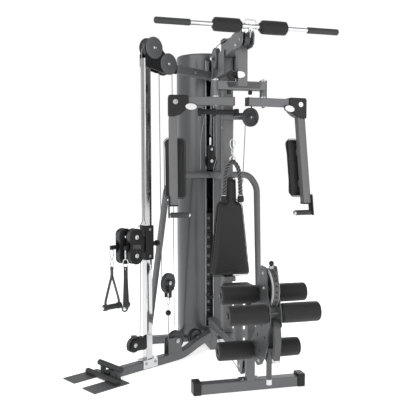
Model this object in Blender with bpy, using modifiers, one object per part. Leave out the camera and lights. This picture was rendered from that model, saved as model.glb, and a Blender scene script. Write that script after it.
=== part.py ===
"""Multi station home gym: weight tower, press and butterfly arms, leg station and a side cable tower."""

import math

import bmesh
import bpy
from mathutils import Matrix, Vector

# Driving sizes. Places below are in drawing metres, and SCALE makes them real ones.
SCALE = 1.05
GAP = 0.0003
TURN_GAP = 0.0007
SHROUD_R = 0.19
SHROUD_TOP = 1.95
WALL = 0.004
SLOT = (-0.038, 0.012)
COLUMN_Y = -0.555
COLUMN = 0.06
SPINE_Z = (0.155, 0.21)
PRESS_Y = -0.85
PRESS_PIVOT_Z = 1.885
ARM_Y = -0.815
ARM_PIVOT_X = 0.138
LAT_BAR_TURN = 3.5
ARM_OPEN = 8
ARM_LEAN = 0.16
ARM_LEAN_FROM = 1.475
ARM_Z = 1.58
UPRIGHT_X = 0.378
LEG_PIVOT = (-1.233, 0.58)
CURL_AXLE = (-1.39, 0.513)
ANKLE_AXLE = (-1.162, 0.273)
DISC = (-1.33, 0.628)
DISC_R = 0.098
AXLE_R = 0.009
ROLLER_IN = 0.0385
TOWER = Vector((-0.4815, -0.503, 0.0))
ALONG = Vector((math.cos(math.radians(30)), math.sin(math.radians(30)), 0.0))
ACROSS = Vector((-math.sin(math.radians(30)), math.cos(math.radians(30)), 0.0))
HEAD_Z = 0.754
UP = Vector((0, 0, 1))

PALETTE = {
    "frame_paint": ((0.13, 0.135, 0.14), 0.45, 0.6),
    "shroud_paint": ((0.07, 0.073, 0.076), 0.35, 0.6),
    "chrome": ((0.82, 0.83, 0.84), 0.12, 1.0),
    "black_plastic": ((0.02, 0.02, 0.021), 0.45, 0.0),
    "pulley_plastic": ((0.045, 0.047, 0.05), 0.4, 0.0),
    "foam": ((0.016, 0.016, 0.017), 0.85, 0.0),
    "vinyl": ((0.02, 0.02, 0.022), 0.5, 0.0),
    "rope": ((0.02, 0.02, 0.02), 0.8, 0.0),
    "cast_plates": ((0.03, 0.03, 0.03), 0.6, 0.3),
    "cable": ((0.6, 0.6, 0.62), 0.4, 0.8),
}


def collection(name, hidden):
    group = bpy.data.collections.new(name)
    group.hide_render = hidden
    bpy.context.scene.collection.children.link(group)
    return group


def material(name):
    made = bpy.data.materials.new(name)
    colour, rough, metal = PALETTE[name.split("/")[1]]
    made.use_nodes = True
    shader = made.node_tree.nodes["Principled BSDF"]
    shader.inputs["Base Color"].default_value = (*colour, 1.0)
    shader.inputs["Roughness"].default_value = rough
    shader.inputs["Metallic"].default_value = metal
    return made


def real(point):
    return Vector(point) * SCALE


def new_object(name, bm, paint):
    """An object whose mesh is this bmesh, in the parts collection, with its own material."""
    bmesh.ops.recalc_face_normals(bm, faces=bm.faces)
    mesh = bpy.data.meshes.new(name)
    bm.to_mesh(mesh)
    bm.free()
    obj = bpy.data.objects.new(name, mesh)
    PARTS.objects.link(obj)
    if paint:
        mesh.materials.append(material(name + "/" + paint))
    return obj


def round_edges(obj, width, segments=1):
    if width:
        bevel = obj.modifiers.new("bevel", "BEVEL")
        bevel.width = width * SCALE
        bevel.segments = segments
        bevel.limit_method = "ANGLE"
        bevel.angle_limit = math.radians(40)
    return obj


def block(name, low, high, paint=None, bevel=0.003):
    """A box between two corners."""
    low = real(low)
    high = real(high)
    bm = bmesh.new()
    place = Matrix.Translation((low + high) / 2) @ Matrix.Diagonal((*(high - low), 1.0))
    bmesh.ops.create_cube(bm, size=1.0, matrix=place)
    return round_edges(new_object(name, bm, paint), bevel)


def bar(name, points, side, width, height, paint=None, bevel=0.003):
    """A rectangular tube swept through points, mitred, with a constant sideways direction."""
    points = [real(p) for p in points]
    side = Vector(side).normalized()
    bm = bmesh.new()
    rings = []
    for i, point in enumerate(points):
        before = (point - points[i - 1]).normalized() if i else None
        after = (points[i + 1] - point).normalized() if i < len(points) - 1 else None
        before = before or after
        after = after or before
        tangent = (before + after).normalized()
        normal = side.cross(tangent).normalized()
        stretch = 1 / max(0.3, tangent.dot(after))
        across = side * width * SCALE / 2
        rise = normal * height * SCALE / 2 * stretch
        corners = (across + rise, rise - across, -across - rise, across - rise)
        rings.append([bm.verts.new(point + corner) for corner in corners])
    for one, two in zip(rings, rings[1:]):
        for k in range(4):
            bm.faces.new((one[k], one[(k + 1) % 4], two[(k + 1) % 4], two[k]))
    bm.faces.new(rings[0])
    bm.faces.new(rings[-1])
    return round_edges(new_object(name, bm, paint), bevel)


def rod(name, start, end, radius, paint=None, sides=12, bevel=0.0):
    """A round bar between two points."""
    start = real(start)
    end = real(end)
    bm = bmesh.new()
    turn = (end - start).to_track_quat("Z", "Y").to_matrix().to_4x4()
    place = Matrix.Translation((start + end) / 2) @ turn
    bmesh.ops.create_cone(
        bm,
        cap_ends=True,
        segments=sides,
        radius1=radius * SCALE,
        radius2=radius * SCALE,
        depth=(end - start).length,
        matrix=place,
    )
    return round_edges(new_object(name, bm, paint), bevel, 1)


def turned(name, centre, axis, profile, paint=None, steps=32, closed=True):
    """A turned piece: profile points are (radius, place along the axis), outer side from high to low first."""
    bm = bmesh.new()
    verts = [bm.verts.new((r * SCALE, 0.0, z * SCALE)) for r, z in profile]
    pairs = list(zip(verts, verts[1:]))
    if closed:
        pairs.append((verts[-1], verts[0]))
    for one, two in pairs:
        bm.edges.new((one, two))
    obj = new_object(name, bm, paint)
    turn = Vector(axis).normalized().to_track_quat("Z", "Y").to_matrix().to_4x4()
    obj.matrix_world = Matrix.Translation(real(centre)) @ turn
    screw = obj.modifiers.new("turn", "SCREW")
    screw.axis = "Z"
    screw.steps = steps
    screw.render_steps = steps
    screw.use_merge_vertices = True
    screw.merge_threshold = 0.00001
    return obj


def plate(name, outline, origin, u, v, thickness, paint=None, bevel=0.0):
    """A flat plate: outline points lie along u and v from origin, and it is thick along their cross product."""
    u = Vector(u).normalized()
    v = Vector(v).normalized()
    w = u.cross(v)
    bm = bmesh.new()
    base = real(origin) - w * thickness * SCALE / 2
    verts = [bm.verts.new(base + (u * a + v * b) * SCALE) for a, b in outline]
    face = bm.faces.new(verts)
    made = bmesh.ops.extrude_face_region(bm, geom=[face])
    moved = [v for v in made["geom"] if isinstance(v, bmesh.types.BMVert)]
    bmesh.ops.translate(bm, verts=moved, vec=w * thickness * SCALE)
    return round_edges(new_object(name, bm, paint), bevel, 1)


def wire(name, points, radius, paint=None, resolution=3, cyclic=False):
    """A round tube through points, as a mesh."""
    data = bpy.data.curves.new(name, "CURVE")
    data.dimensions = "3D"
    data.bevel_depth = radius * SCALE
    data.bevel_resolution = resolution
    data.use_fill_caps = True
    spline = data.splines.new("POLY")
    spline.points.add(len(points) - 1)
    spline.use_cyclic_u = cyclic
    for slot, point in zip(spline.points, points):
        slot.co = (*real(point), 1.0)
    curve = bpy.data.objects.new(name + "_path", data)
    PARTS.objects.link(curve)
    bpy.context.view_layer.update()
    graph = bpy.context.evaluated_depsgraph_get()
    mesh = bpy.data.meshes.new_from_object(curve.evaluated_get(graph))
    bpy.data.objects.remove(curve)
    bm = bmesh.new()
    bm.from_mesh(mesh)
    bmesh.ops.remove_doubles(bm, verts=bm.verts, dist=0.00002)
    return new_object(name, bm, paint)


def rounded(points, radius, steps=4):
    """Points with each inner corner replaced by an arc-like run of points."""
    made = [Vector(points[0])]
    for before, corner, after in zip(points, points[1:], points[2:]):
        before = Vector(before)
        corner = Vector(corner)
        after = Vector(after)
        one = corner + (before - corner).normalized() * radius
        two = corner + (after - corner).normalized() * radius
        for k in range(steps + 1):
            t = k / steps
            made.append(one * (1 - t) ** 2 + corner * 2 * t * (1 - t) + two * t * t)
    made.append(Vector(points[-1]))
    return made


def combine(base, others, operation):
    for other in others:
        PARTS.objects.unlink(other)
        HELPERS.objects.link(other)
        other.hide_render = True
        other.display_type = "WIRE"
        step = base.modifiers.new(other.name, "BOOLEAN")
        step.operation = operation
        step.solver = "EXACT"
        step.object = other
    return base


def join(base, *others):
    return combine(base, others, "UNION")


def cut(base, *others):
    return combine(base, others, "DIFFERENCE")


def about(centre, angle):
    """A turn about the upright line through a point."""
    return Matrix.Translation(centre) @ Matrix.Rotation(angle, 4, "Z") @ Matrix.Translation(-centre)


def baked(obj):
    """The object's mesh with its cuts, joins and edges made real."""
    bpy.context.view_layer.update()
    made = bpy.data.meshes.new_from_object(obj.evaluated_get(bpy.context.evaluated_depsgraph_get()))
    obj.modifiers.clear()
    obj.data = made


def span(side, a, b):
    """A span of x on one side, low end first."""
    return (min(side * a, side * b), max(side * a, side * b))


def pulley(name, centre, axis, radius, width, bore=0.0073, paint="pulley_plastic"):
    half = width / 2
    profile = [
        (radius, half), (radius - 0.006, 0.0), (radius, -half), (radius * 0.84, -half),
        (radius * 0.76, -half * 0.5), (bore, -half * 0.5), (bore, half * 0.5), (radius * 0.76, half * 0.5),
        (radius * 0.84, half),
    ]
    return turned(name, centre, axis, profile, paint, 20)


def tower(a, n, z):
    """A point in the side tower's own directions: along its arm, across it, and up."""
    return TOWER + ALONG * a + ACROSS * n + UP * z


def build_base():
    rear = block("rear_stabiliser", (-0.49, -0.025, 0), (0.49, 0.025, 0.05), "frame_paint")
    front = block("front_stabiliser", (-0.29, -1.03, 0), (0.29, -0.975, 0.058), "frame_paint")
    for side in (-1, 1):
        x = span(side, 0.475, 0.515)
        join(rear, block(f"rear_cap_{side}", (x[0], -0.031, 0), (x[1], 0.031, 0.057), None, 0.005))
        x = span(side, 0.275, 0.318)
        join(front, block(f"front_cap_{side}", (x[0], -1.037, 0), (x[1], -0.968, 0.072), None, 0.006))
    spine = block("base_spine", (-0.025, -0.25, 0), (0.025, -0.025 - GAP, 0.05), "frame_paint")
    riser = block("spine_riser", (-0.025, -0.25, 0.0), (0.025, -0.20, SPINE_Z[1]))
    run = block("spine_run", (-0.025, -0.9975 + GAP, SPINE_Z[0]), (0.025, -0.205, SPINE_Z[1]))
    ear = plate(
        "spine_ear",
        [(-0.93, 0.06), (-0.86, 0.06), (-0.83, 0.17), (-0.96, 0.17)],
        (-0.018, 0, 0), (0, 1, 0), (0, 0, 1), 0.005,
    )
    pin = rod("spine_pin", (-0.0195, -0.896, 0.1), (0.024, -0.896, 0.1), 0.007)
    join(spine, riser, run, ear, pin)
    pulley("front_low_pulley", (0.0035, -0.896, 0.1), (1, 0, 0), 0.048, 0.022)


def build_column():
    y = COLUMN_Y
    half = COLUMN / 2
    column = block(
        "main_column",
        (-half, y - half, SPINE_Z[1] + GAP), (half, y + half, 1.95), "frame_paint",
    )
    cap = block(
        "column_cap",
        (-half - 0.002, y - half - 0.002, 1.945), (half + 0.002, y + half + 0.002, 1.97), None, 0.004,
    )
    link = block("shroud_link", (-0.02, y, 1.765), (0.02, -SHROUD_R - 0.002, 1.825))
    axle = rod("link_axle", (-0.062, -0.42, 1.875), (0.03, -0.42, 1.875), 0.007)
    cheek = plate(
        "link_cheek",
        [(-0.45, 1.79), (-0.39, 1.79), (-0.39, 1.9), (-0.45, 1.9)],
        (0.0, 0, 0), (0, 1, 0), (0, 0, 1), 0.012,
    )
    crown = rod("crown_pulley", (-0.045, -0.42, 1.875), (-0.02, -0.42, 1.875), 0.062, None, 24, 0)
    front = y - half
    mount = block("backrest_mount", (-0.045, front + 0.01, 0.62), (0.045, -0.603 + GAP, 1.08))
    hook = block("backrest_foot", (-0.034, -0.64, 0.53), (0.034, y, 0.56))
    arm = block("side_arm", (-0.04, front - 0.03, 1.495), (0.112, front + 0.01, 1.535))
    side_pin = rod("side_pin", (0.105, -0.6, 1.508), (0.128, -0.664, 1.508), 0.007)
    join(column, cap, link, cheek, axle, crown, mount, hook, arm, side_pin)
    pulley("side_pulley", (0.11973, -0.641, 1.508), (0.338, -0.941, 0), 0.056, 0.024)
    path = [
        (-0.40, 0.0, 0.05 + GAP),
        (-0.305, -0.215, 1.08),
        (-0.245, -0.222, 1.16),
        (0.245, -0.222, 1.16),
        (0.305, -0.215, 1.08),
        (0.40, 0.0, 0.05 + GAP),
    ]
    hoop = wire("frame_hoop", rounded(path, 0.05, 3), 0.021, "frame_paint", 2)
    stay = block("hoop_stay", (-0.02, y + half + GAP, 1.14), (0.02, -0.225, 1.18))
    floor_cutter = block("hoop_trim", (-0.5, -0.3, -0.2), (0.5, 0.3, 0.05 + GAP), None, 0)
    join(hoop, stay)
    cut(hoop, floor_cutter)


def build_shroud():
    low = 0.05 + GAP
    outer = [
        (0.0, SHROUD_TOP),
        (SHROUD_R - 0.006, SHROUD_TOP),
        (SHROUD_R, SHROUD_TOP - 0.006),
        (SHROUD_R, low),
        (SHROUD_R - WALL, low),
        (SHROUD_R - WALL, SHROUD_TOP - WALL),
        (0.0, SHROUD_TOP - WALL),
    ]
    shroud = turned("stack_shroud", (0, 0, 0), (0, 0, 1), outer, "shroud_paint", 40, closed=False)
    slot = block("slot_cutter", (SLOT[0], -0.25, 0.145), (SLOT[1], -0.1, 1.9), None, 0)
    cut(shroud, slot)
    lower = block("weight_plates_lower", (-0.085, -0.158, 0.09), (0.085, 0.06, 0.335), "cast_plates", 0.002)
    upper = block(
        "weight_plates_lifted", (-0.085, -0.158, 0.335 + GAP), (0.085, 0.06, 0.905), "cast_plates", 0.002
    )
    feet = block("stack_feet", (-0.04, -0.09, low), (0.04, 0.0, 0.1))
    join(lower, feet)
    for x in (-0.06, 0.06):
        join(lower, rod(f"guide_rod_{x}", (x, -0.05, 0.3), (x, -0.05, 1.93), 0.009))
        cut(upper, rod(f"guide_bore_{x}", (x, -0.05, 0.2), (x, -0.05, 1.2), 0.0095))
    for word, stack, z0, count in (("low", lower, 0.09, 4), ("high", upper, 0.335, 8)):
        for k in range(1, count):
            z = z0 + k * 0.0625
            groove = block(f"{word}_groove_{k}", (-0.1, -0.2, z - 0.002), (0.1, -0.152, z + 0.002), None, 0)
            cut(stack, groove)
    pin_bore = rod("pin_bore", (-0.013, -0.25, 0.353), (-0.013, -0.08, 0.353), 0.0055)
    cut(upper, pin_bore)
    pin = rod("selector_pin", (-0.013, -0.23, 0.353), (-0.013, -0.09, 0.353), 0.005, "black_plastic", 16)
    knob = rod("pin_knob", (-0.013, -0.245, 0.353), (-0.013, -0.205, 0.353), 0.013, None, 16, 0)
    join(pin, knob)


def build_seat():
    back = [
        (-0.118, 0.585), (-0.1, 0.565), (0.1, 0.565), (0.118, 0.585),
        (0.084, 0.985), (0.07, 1.01), (0.044, 1.02), (0.04, 1.14), (0.03, 1.155),
        (-0.03, 1.155), (-0.04, 1.14), (-0.044, 1.02), (-0.07, 1.01), (-0.084, 0.985),
    ]
    plate("backrest_pad", back, (0, -0.628, 0), (1, 0, 0), (0, 0, 1), 0.05, "vinyl", 0.008)
    seat = [
        (-0.09, -0.72), (-0.14, -1.03), (-0.12, -1.06),
        (0.12, -1.06), (0.14, -1.03), (0.09, -0.72),
    ]
    plate("seat_pad", seat, (0, 0, 0.5225), (1, 0, 0), (0, 1, 0), 0.045, "vinyl", 0.008)
    post = block("seat_post", (-0.0225, -0.8225, SPINE_Z[1] + GAP), (0.0225, -0.7775, 0.49), "frame_paint")
    tray = block("seat_tray", (-0.07, -0.98, 0.485), (0.07, -0.75, 0.5 - GAP))
    join(post, tray)


def build_leg_station():
    frame = block("leg_frame", (-0.0225, -1.0425, 0.058 + GAP), (0.0225, -0.9975, 0.48), "frame_paint")
    foot = block("leg_foot", (-0.055, -1.03, 0.058 + GAP), (0.055, -0.975, 0.064), None, 0.001)
    arm = bar(
        "leg_arm",
        [(0, -1.01, 0.44), (0, -1.11, 0.475), (0, -1.248, 0.587)],
        (1, 0, 0), 0.044, 0.045,
    )
    y, z = LEG_PIVOT
    axle = rod("thigh_axle", (-0.232, y, z), (0.232, y, z), AXLE_R)
    join(frame, foot, arm, axle)
    outline = [
        (-1.200, 0.592), (-1.204, 0.615), (-1.225, 0.632), (-1.262, 0.65), (-1.277, 0.715),
        (-1.290, 0.735), (-1.345, 0.735), (-1.368, 0.69), (-1.380, 0.60), (-1.412, 0.54),
        (-1.422, 0.50), (-1.420, 0.455), (-1.400, 0.436), (-1.387, 0.40), (-1.387, 0.36),
        (-1.359, 0.302), (-1.298, 0.235), (-1.235, 0.21), (-1.16, 0.235), (-1.125, 0.26),
        (-1.125, 0.31), (-1.187, 0.37), (-1.215, 0.43), (-1.245, 0.50), (-1.2, 0.54),
    ]
    lever = plate(
        "leg_lever", outline, (-0.0285, 0, 0), (0, 1, 0), (0, 0, 1), 0.006, "frame_paint"
    )
    other = plate("leg_lever_right", outline, (0.0285, 0, 0), (0, 1, 0), (0, 0, 1), 0.006)
    y2, z2 = CURL_AXLE
    curl = rod("curl_axle", (-0.238, y2, z2), (0.238, y2, z2), AXLE_R)
    y3, z3 = ANKLE_AXLE
    ankle = rod("ankle_axle", (-0.228, y3, z3), (0.228, y3, z3), AXLE_R)
    path = rounded([(0, -1.375, 0.472), (0, -1.43, 0.462), (0, -1.444, 0.40), (0, -1.421, 0.283)], 0.03)
    horn = bar("lever_horn", path, (1, 0, 0), 0.03, 0.03, None, 0)
    neck = rod("lever_neck", (-0.0287, -1.392, 0.472), (0.0287, -1.392, 0.472), 0.0115)
    foot_rod = rod("lever_foot", (0, -1.326, 0.14), (0, -1.326, 0.31), 0.014)
    tie = rod("lever_tie", (-0.0287, -1.322, 0.315), (0.0287, -1.322, 0.315), 0.016)
    join(lever, other, curl, ankle, horn, neck, foot_rod, tie)
    bores = rod("pivot_bore", (-0.1, y, z), (0.1, y, z), AXLE_R + TURN_GAP)
    cut(lever, bores)
    holes = ((-1.295, 0.435), (-1.24, 0.372), (-1.345, 0.385), (-1.275, 0.30), (-1.325, 0.50))
    for k, (a, b) in enumerate(holes):
        hole = rod(f"lever_hole_{k}", (-0.1, a, b), (0.1, a, b), 0.009, sides=12)
        cut(lever, hole)
    rim = [
        (0.0, 0.0252), (0.022, 0.0252), (0.022, 0.009), (0.074, 0.009), (0.076, 0.014), (DISC_R, 0.014),
        (DISC_R, -0.014), (0.076, -0.014), (0.074, -0.009), (0.022, -0.009), (0.022, -0.0252), (0.0, -0.0252),
    ]
    disc = turned("adjuster_disc", (0, *DISC), (1, 0, 0), rim, "frame_paint", 32, closed=False)
    notch = rod("disc_notch", (-0.1, y, z), (0.1, y, z), 0.034, sides=24)
    cut(disc, notch)
    centre = Vector((0, *DISC))
    axis = Vector((0, -0.153, 0.988))
    bore = rod("knob_bore", centre + axis * 0.07, centre + axis * 0.2, 0.0065)
    cut(disc, bore)
    stem = rod("disc_knob", centre + axis * 0.082, centre + axis * 0.122, 0.006, "black_plastic", 16)
    ball = turned(
        "knob_ball", centre + axis * 0.126, axis,
        [(0.0125 * math.sin(math.radians(a)), 0.0125 * math.cos(math.radians(a))) for a in range(0, 181, 30)],
        None, 14, closed=False,
    )
    join(stem, ball)
    sets = (
        ("thigh_roller_", LEG_PIVOT, 0.225, 0.0465),
        ("curl_roller_", CURL_AXLE, 0.232, 0.0485),
        ("ankle_roller_", ANKLE_AXLE, 0.222, 0.048),
    )
    for name, (a, b), far, radius in sets:
        for word, side in (("left", -1), ("right", 1)):
            half = (far - ROLLER_IN) / 2
            profile = [
                (radius - 0.006, half), (radius, half - 0.008), (radius, 0.008 - half),
                (radius - 0.006, -half), (AXLE_R + GAP, -half), (AXLE_R + GAP, half),
            ]
            centre = (side * (far + ROLLER_IN) / 2, a, b)
            turned(name + word, centre, (1, 0, 0), profile, "foam", 16)


def build_press():
    y = PRESS_Y
    front = COLUMN_Y - COLUMN / 2
    boom = bar(
        "lat_boom", [(0, front - GAP, 1.9), (0, -0.8, 1.915)], (1, 0, 0), 0.06, 0.085, "frame_paint"
    )
    cheeks = [(-0.77, 1.875), (-0.77, 1.952), (-0.85, 1.958), (-0.94, 1.95), (-0.965, 1.925),
              (-0.96, 1.88), (-0.93, 1.862), (-0.83, 1.862)]
    parts = []
    for word, x in (("left", -0.0325), ("right", 0.0325)):
        parts.append(plate("boom_cheek_" + word, cheeks, (x, 0, 0), (0, 1, 0), (0, 0, 1), 0.007))
    parts.append(rod("boom_pivot", (-0.044, y, PRESS_PIVOT_Z), (0.044, y, PRESS_PIVOT_Z), AXLE_R))
    parts.append(rod("boom_pulley_pin", (-0.042, -0.925, 1.905), (0.042, -0.925, 1.905), 0.007))
    trim = block("boom_trim", (-0.1, front - GAP, 1.7), (0.1, front + 0.1, 2.0), None, 0)
    join(boom, *parts)
    cut(boom, trim)
    pulley("lat_pulley", (0, -0.925, 1.905), (1, 0, 0), 0.035, 0.03)
    lever = block("press_lever", (-0.0275, y - 0.0225, 1.66), (0.0275, y + 0.0225, 1.908), "frame_paint")
    beam = block("press_beam", (-ARM_PIVOT_X, -0.865, 1.641), (ARM_PIVOT_X, -0.805, 1.689))
    parts = [beam]
    for word, side in (("left", -1), ("right", 1)):
        x = side * ARM_PIVOT_X
        parts.append(rod("boss_" + word, (x, ARM_Y, 1.6035), (x, ARM_Y, 1.7), 0.021, bevel=0.002))
        parts.append(rod("boss_pin_" + word, (x, ARM_Y, 1.548), (x, ARM_Y, 1.61), 0.009))
    join(lever, *parts)
    bore = rod("lever_pivot_bore", (-0.1, y, PRESS_PIVOT_Z), (0.1, y, PRESS_PIVOT_Z), AXLE_R + TURN_GAP)
    cut(lever, bore)
    stop = rod("press_bumper", (-0.057, -0.86, 1.721), (-0.057, -0.66, 1.721), 0.0275, "black_plastic", 18, 0.005)
    seat = block("bumper_foot", (-0.075, -0.86, 1.689 + GAP), (-0.038, -0.81, 1.72), None, 0.002)
    join(stop, seat)


def leaned(obj, side):
    """The upright's lower end brought forward, then the whole arm opened back about its pin."""
    turn = math.radians(side * ARM_OPEN)
    centre = real((side * ARM_PIVOT_X, ARM_Y, 0))
    for vert in obj.data.vertices:
        low = max(0.0, ARM_LEAN_FROM * SCALE - vert.co.z)
        x = vert.co.x - centre.x
        y = vert.co.y - centre.y - ARM_LEAN * low
        vert.co.x = centre.x + x * math.cos(turn) - y * math.sin(turn)
        vert.co.y = centre.y + x * math.sin(turn) + y * math.cos(turn)


def build_arm(word, side):
    path = rounded([(side * 0.036, ARM_Y, ARM_Z), (side * UPRIGHT_X, ARM_Y, ARM_Z), (side * UPRIGHT_X, ARM_Y, 1.01)],
                   0.105, 6)
    arm = bar("arm_" + word, path, (0, 1, 0), 0.045, 0.046, "frame_paint")
    pin = (side * ARM_PIVOT_X, ARM_Y)
    bore = rod("arm_bore_" + word, (*pin, 1.5), (*pin, 1.7), 0.009 + TURN_GAP)
    parts = []
    for z in (1.12, 1.3):
        x = span(side, UPRIGHT_X - 0.02, UPRIGHT_X + 0.018)
        parts.append(block(f"pad_stud_{word}_{z}", (x[0], ARM_Y + 0.02, z - 0.02), (x[1], -0.777 - GAP, z + 0.02)))
    join(arm, *parts)
    cut(arm, bore)
    outline = [(0.3985, 1.611), (0.298, 1.611), (0.292, 1.605), (0.292, 1.556), (0.306, 1.530), (0.336, 1.506),
               (0.372, 1.494), (0.398, 1.494), (0.4045, 1.501), (0.4045, 1.605)]
    outline = [(side * x, z) for x, z in outline]
    cover = plate("arm_cover_" + word, outline, (0, ARM_Y, 0), (1, 0, 0), UP, 0.062, "black_plastic", 0.004)
    inner = bar("cover_core_" + word, path, (0, 1, 0), 0.045 + 2 * GAP, 0.046 + 2 * GAP, None, 0)
    cut(cover, inner)
    outline = [(-0.064, 1.06), (-0.045, 1.039), (0.045, 1.039), (0.064, 1.06),
               (0.064, 1.362), (0.045, 1.382), (-0.045, 1.382), (-0.064, 1.362)]
    pad = plate("arm_pad_" + word, outline, (side * 0.366, -0.752, 0), (1, 0, 0), UP, 0.05, "vinyl", 0.008)
    x = span(side, UPRIGHT_X + 0.023 + GAP, UPRIGHT_X + 0.031)
    handle = block("arm_handle_" + word, (x[0], -0.848, 0.94), (x[1], -0.802, 1.06), "black_plastic", 0.002)
    y = -0.828
    grip = rod("grip_" + word, (side * (UPRIGHT_X + 0.027), y, 0.957), (side * 0.287, y, 0.957), 0.0135, sides=24)
    join(handle, grip)
    for obj in (arm, cover, pad, handle):
        baked(obj)
        leaned(obj, side)


def build_lat_bar():
    y, z = (-1.0, 1.957)
    bar_ = rod("lat_bar", (-0.515, y, z), (0.515, y, z), 0.0115, "chrome", 16)
    eye = block("lat_eye", (-0.018, y - 0.006, z - 0.03), (0.018, y + 0.006, z + 0.02), None, 0.002)
    join(bar_, eye)
    rolls = [bar_]
    half = 0.0725
    radius = 0.036
    for word, side in (("left", -1), ("right", 1)):
        join(bar_, rod("lat_grip_" + word, (side * 0.33, y, z), (side * 0.52, y, z), 0.0165, None, 16, 0))
        profile = [(radius - 0.006, half), (radius, half - 0.008), (radius, 0.008 - half),
                   (radius - 0.006, -half), (0.0115 + GAP, -half), (0.0115 + GAP, half)]
        rolls.append(turned("lat_foam_" + word, (side * 0.1325, y, z), (1, 0, 0), profile, "foam", 16))
    for obj in rolls:
        baked(obj)
        obj.data.transform(about(real((0, y, 0)), math.radians(LAT_BAR_TURN)))


def build_tower():
    post = bar("tower_post", [tower(0, 0, 0.054), tower(0, 0, 1.85)], ACROSS, 0.045, 0.045, "chrome")
    base = bar(
        "tower_base",
        rounded([tower(-0.30, 0, 0.025), tower(0.28, 0, 0.025), tower(0.44, 0, 0.085), tower(0.57, 0, 0.11)],
                0.06),
        ACROSS, 0.05, 0.05, "frame_paint",
    )
    trim = block("base_trim", (-0.025 - GAP, -0.4, -0.1), (0.2, 0.0, 0.4), None, 0)
    flat = block("base_flat", (-1.2, -1.2, -0.2), (0.2, 0.2, 0.0), None, 0)
    pin = rod("spine_pulley_pin", tower(0.43, 0.01, 0.098), tower(0.43, 0.062, 0.098), 0.007)
    wheel = rod("spine_pulley", tower(0.43, 0.03, 0.098), tower(0.43, 0.054, 0.098), 0.05, None, 18, 0)
    join(base, pin, wheel)
    saddle = bar("tower_saddle", [tower(-0.055, 0, 0.033), tower(0.055, 0, 0.033)], ACROSS, 0.062, 0.054,
                 None, 0.002)
    core = bar("saddle_core", [tower(-0.2, 0, 0.0), tower(0.2, 0, 0.0)], ACROSS, 0.05 + 2 * GAP,
               0.1 + 2 * GAP, None, 0)
    cut(saddle, core)
    join(post, saddle)
    brace = bar("tower_brace", [tower(0.218, -0.026, 1.805), tower(0.6, -0.026, 1.785)], ACROSS, 0.036,
                0.05, "frame_paint")
    brace_trim = block("brace_trim", (-0.02 - GAP, -0.6, 1.6), (0.3, 0.2, 2.0), None, 0)
    cut(brace, brace_trim)
    outline = [(-0.02, 1.80), (0.1, 1.775), (0.2157, 1.775), (0.2157, 1.835), (0.17, 1.85), (0.08, 1.93),
               (0.02, 1.93), (-0.02, 1.87)]
    head = plate("tower_head", outline, tower(0, -0.0262, 0), ALONG, UP, 0.006, "black_plastic")
    other = plate("head_back", outline, tower(0, 0.0262, 0), ALONG, UP, 0.006)
    pins = [rod("top_pin", tower(0.042, -0.033, 1.9115), tower(0.042, 0.033, 1.9115), 0.007),
            rod("second_pin", tower(0.154, -0.033, 1.829), tower(0.154, 0.033, 1.829), 0.007)]
    join(head, other, *pins)
    for obj_name in ("tower_top_pulley", "tower_second_pulley"):
        a, z = (0.042, 1.9115) if obj_name == "tower_top_pulley" else (0.154, 1.829)
        pulley(obj_name, tower(a, 0, z), ACROSS, 0.06, 0.03)
    low = bar("low_bracket", [tower(-0.0225 - GAP, 0, 0.161), tower(-0.05, 0, 0.161)], ACROSS, 0.04, 0.07,
              "black_plastic", 0.002)
    for word, n in (("front", -0.017), ("back", 0.017)):
        ear = plate(f"low_ear_{word}", [(-0.13, 0.15), (-0.03, 0.126), (-0.03, 0.196), (-0.12, 0.18)],
                    tower(0, n, 0), ALONG, UP, 0.005)
        join(low, ear)
    join(low, rod("low_pin", tower(-0.106, -0.022, 0.162), tower(-0.106, 0.022, 0.162), 0.007))
    join(low, rod("low_wheel", tower(-0.106, -0.012, 0.162), tower(-0.106, 0.012, 0.162), 0.045, None, 18, 0))
    ears = []
    for word, n in (("front", -0.0205), ("back", 0.0205)):
        ears.append(plate(f"floor_ear_{word}", [(0.15, 0.04), (0.26, 0.04), (0.255, 0.135), (0.205, 0.15),
                                                (0.152, 0.15)],
                          tower(0, n, 0), ALONG, UP, 0.005))
    join(base, *ears, rod("floor_pin", tower(0.222, -0.026, 0.125), tower(0.222, 0.026, 0.125), 0.007))
    cut(base, trim, flat)
    pulley("floor_pulley", tower(0.222, 0, 0.125), ACROSS, 0.0625, 0.03)
    plates = bar("foot_plates", [tower(-0.475, 0.125, 0.003), tower(-0.24, 0.125, 0.003)], ACROSS, 0.115, 0.006,
                 "frame_paint", 0)
    second = bar("foot_plate_two", [tower(-0.485, -0.09, 0.003), tower(-0.25, -0.09, 0.003)], ACROSS, 0.118,
                 0.006, None, 0)
    bars = [rod("heel_bar_end", tower(-0.319, -0.13, 0.0165), tower(-0.319, 0.165, 0.0165), 0.0165, bevel=0.003),
            rod("heel_bar_top", tower(-0.265, -0.09, 0.0673), tower(-0.265, 0.12, 0.0673), 0.0165, bevel=0.003),
            bar("heel_post_one", [tower(-0.28, 0.085, 0.03), tower(-0.25, 0.085, 0.03)], ACROSS, 0.02, 0.06),
            bar("heel_post_two", [tower(-0.28, -0.06, 0.03), tower(-0.25, -0.06, 0.03)], ACROSS, 0.02, 0.06)]
    join(plates, second, *bars)


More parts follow.
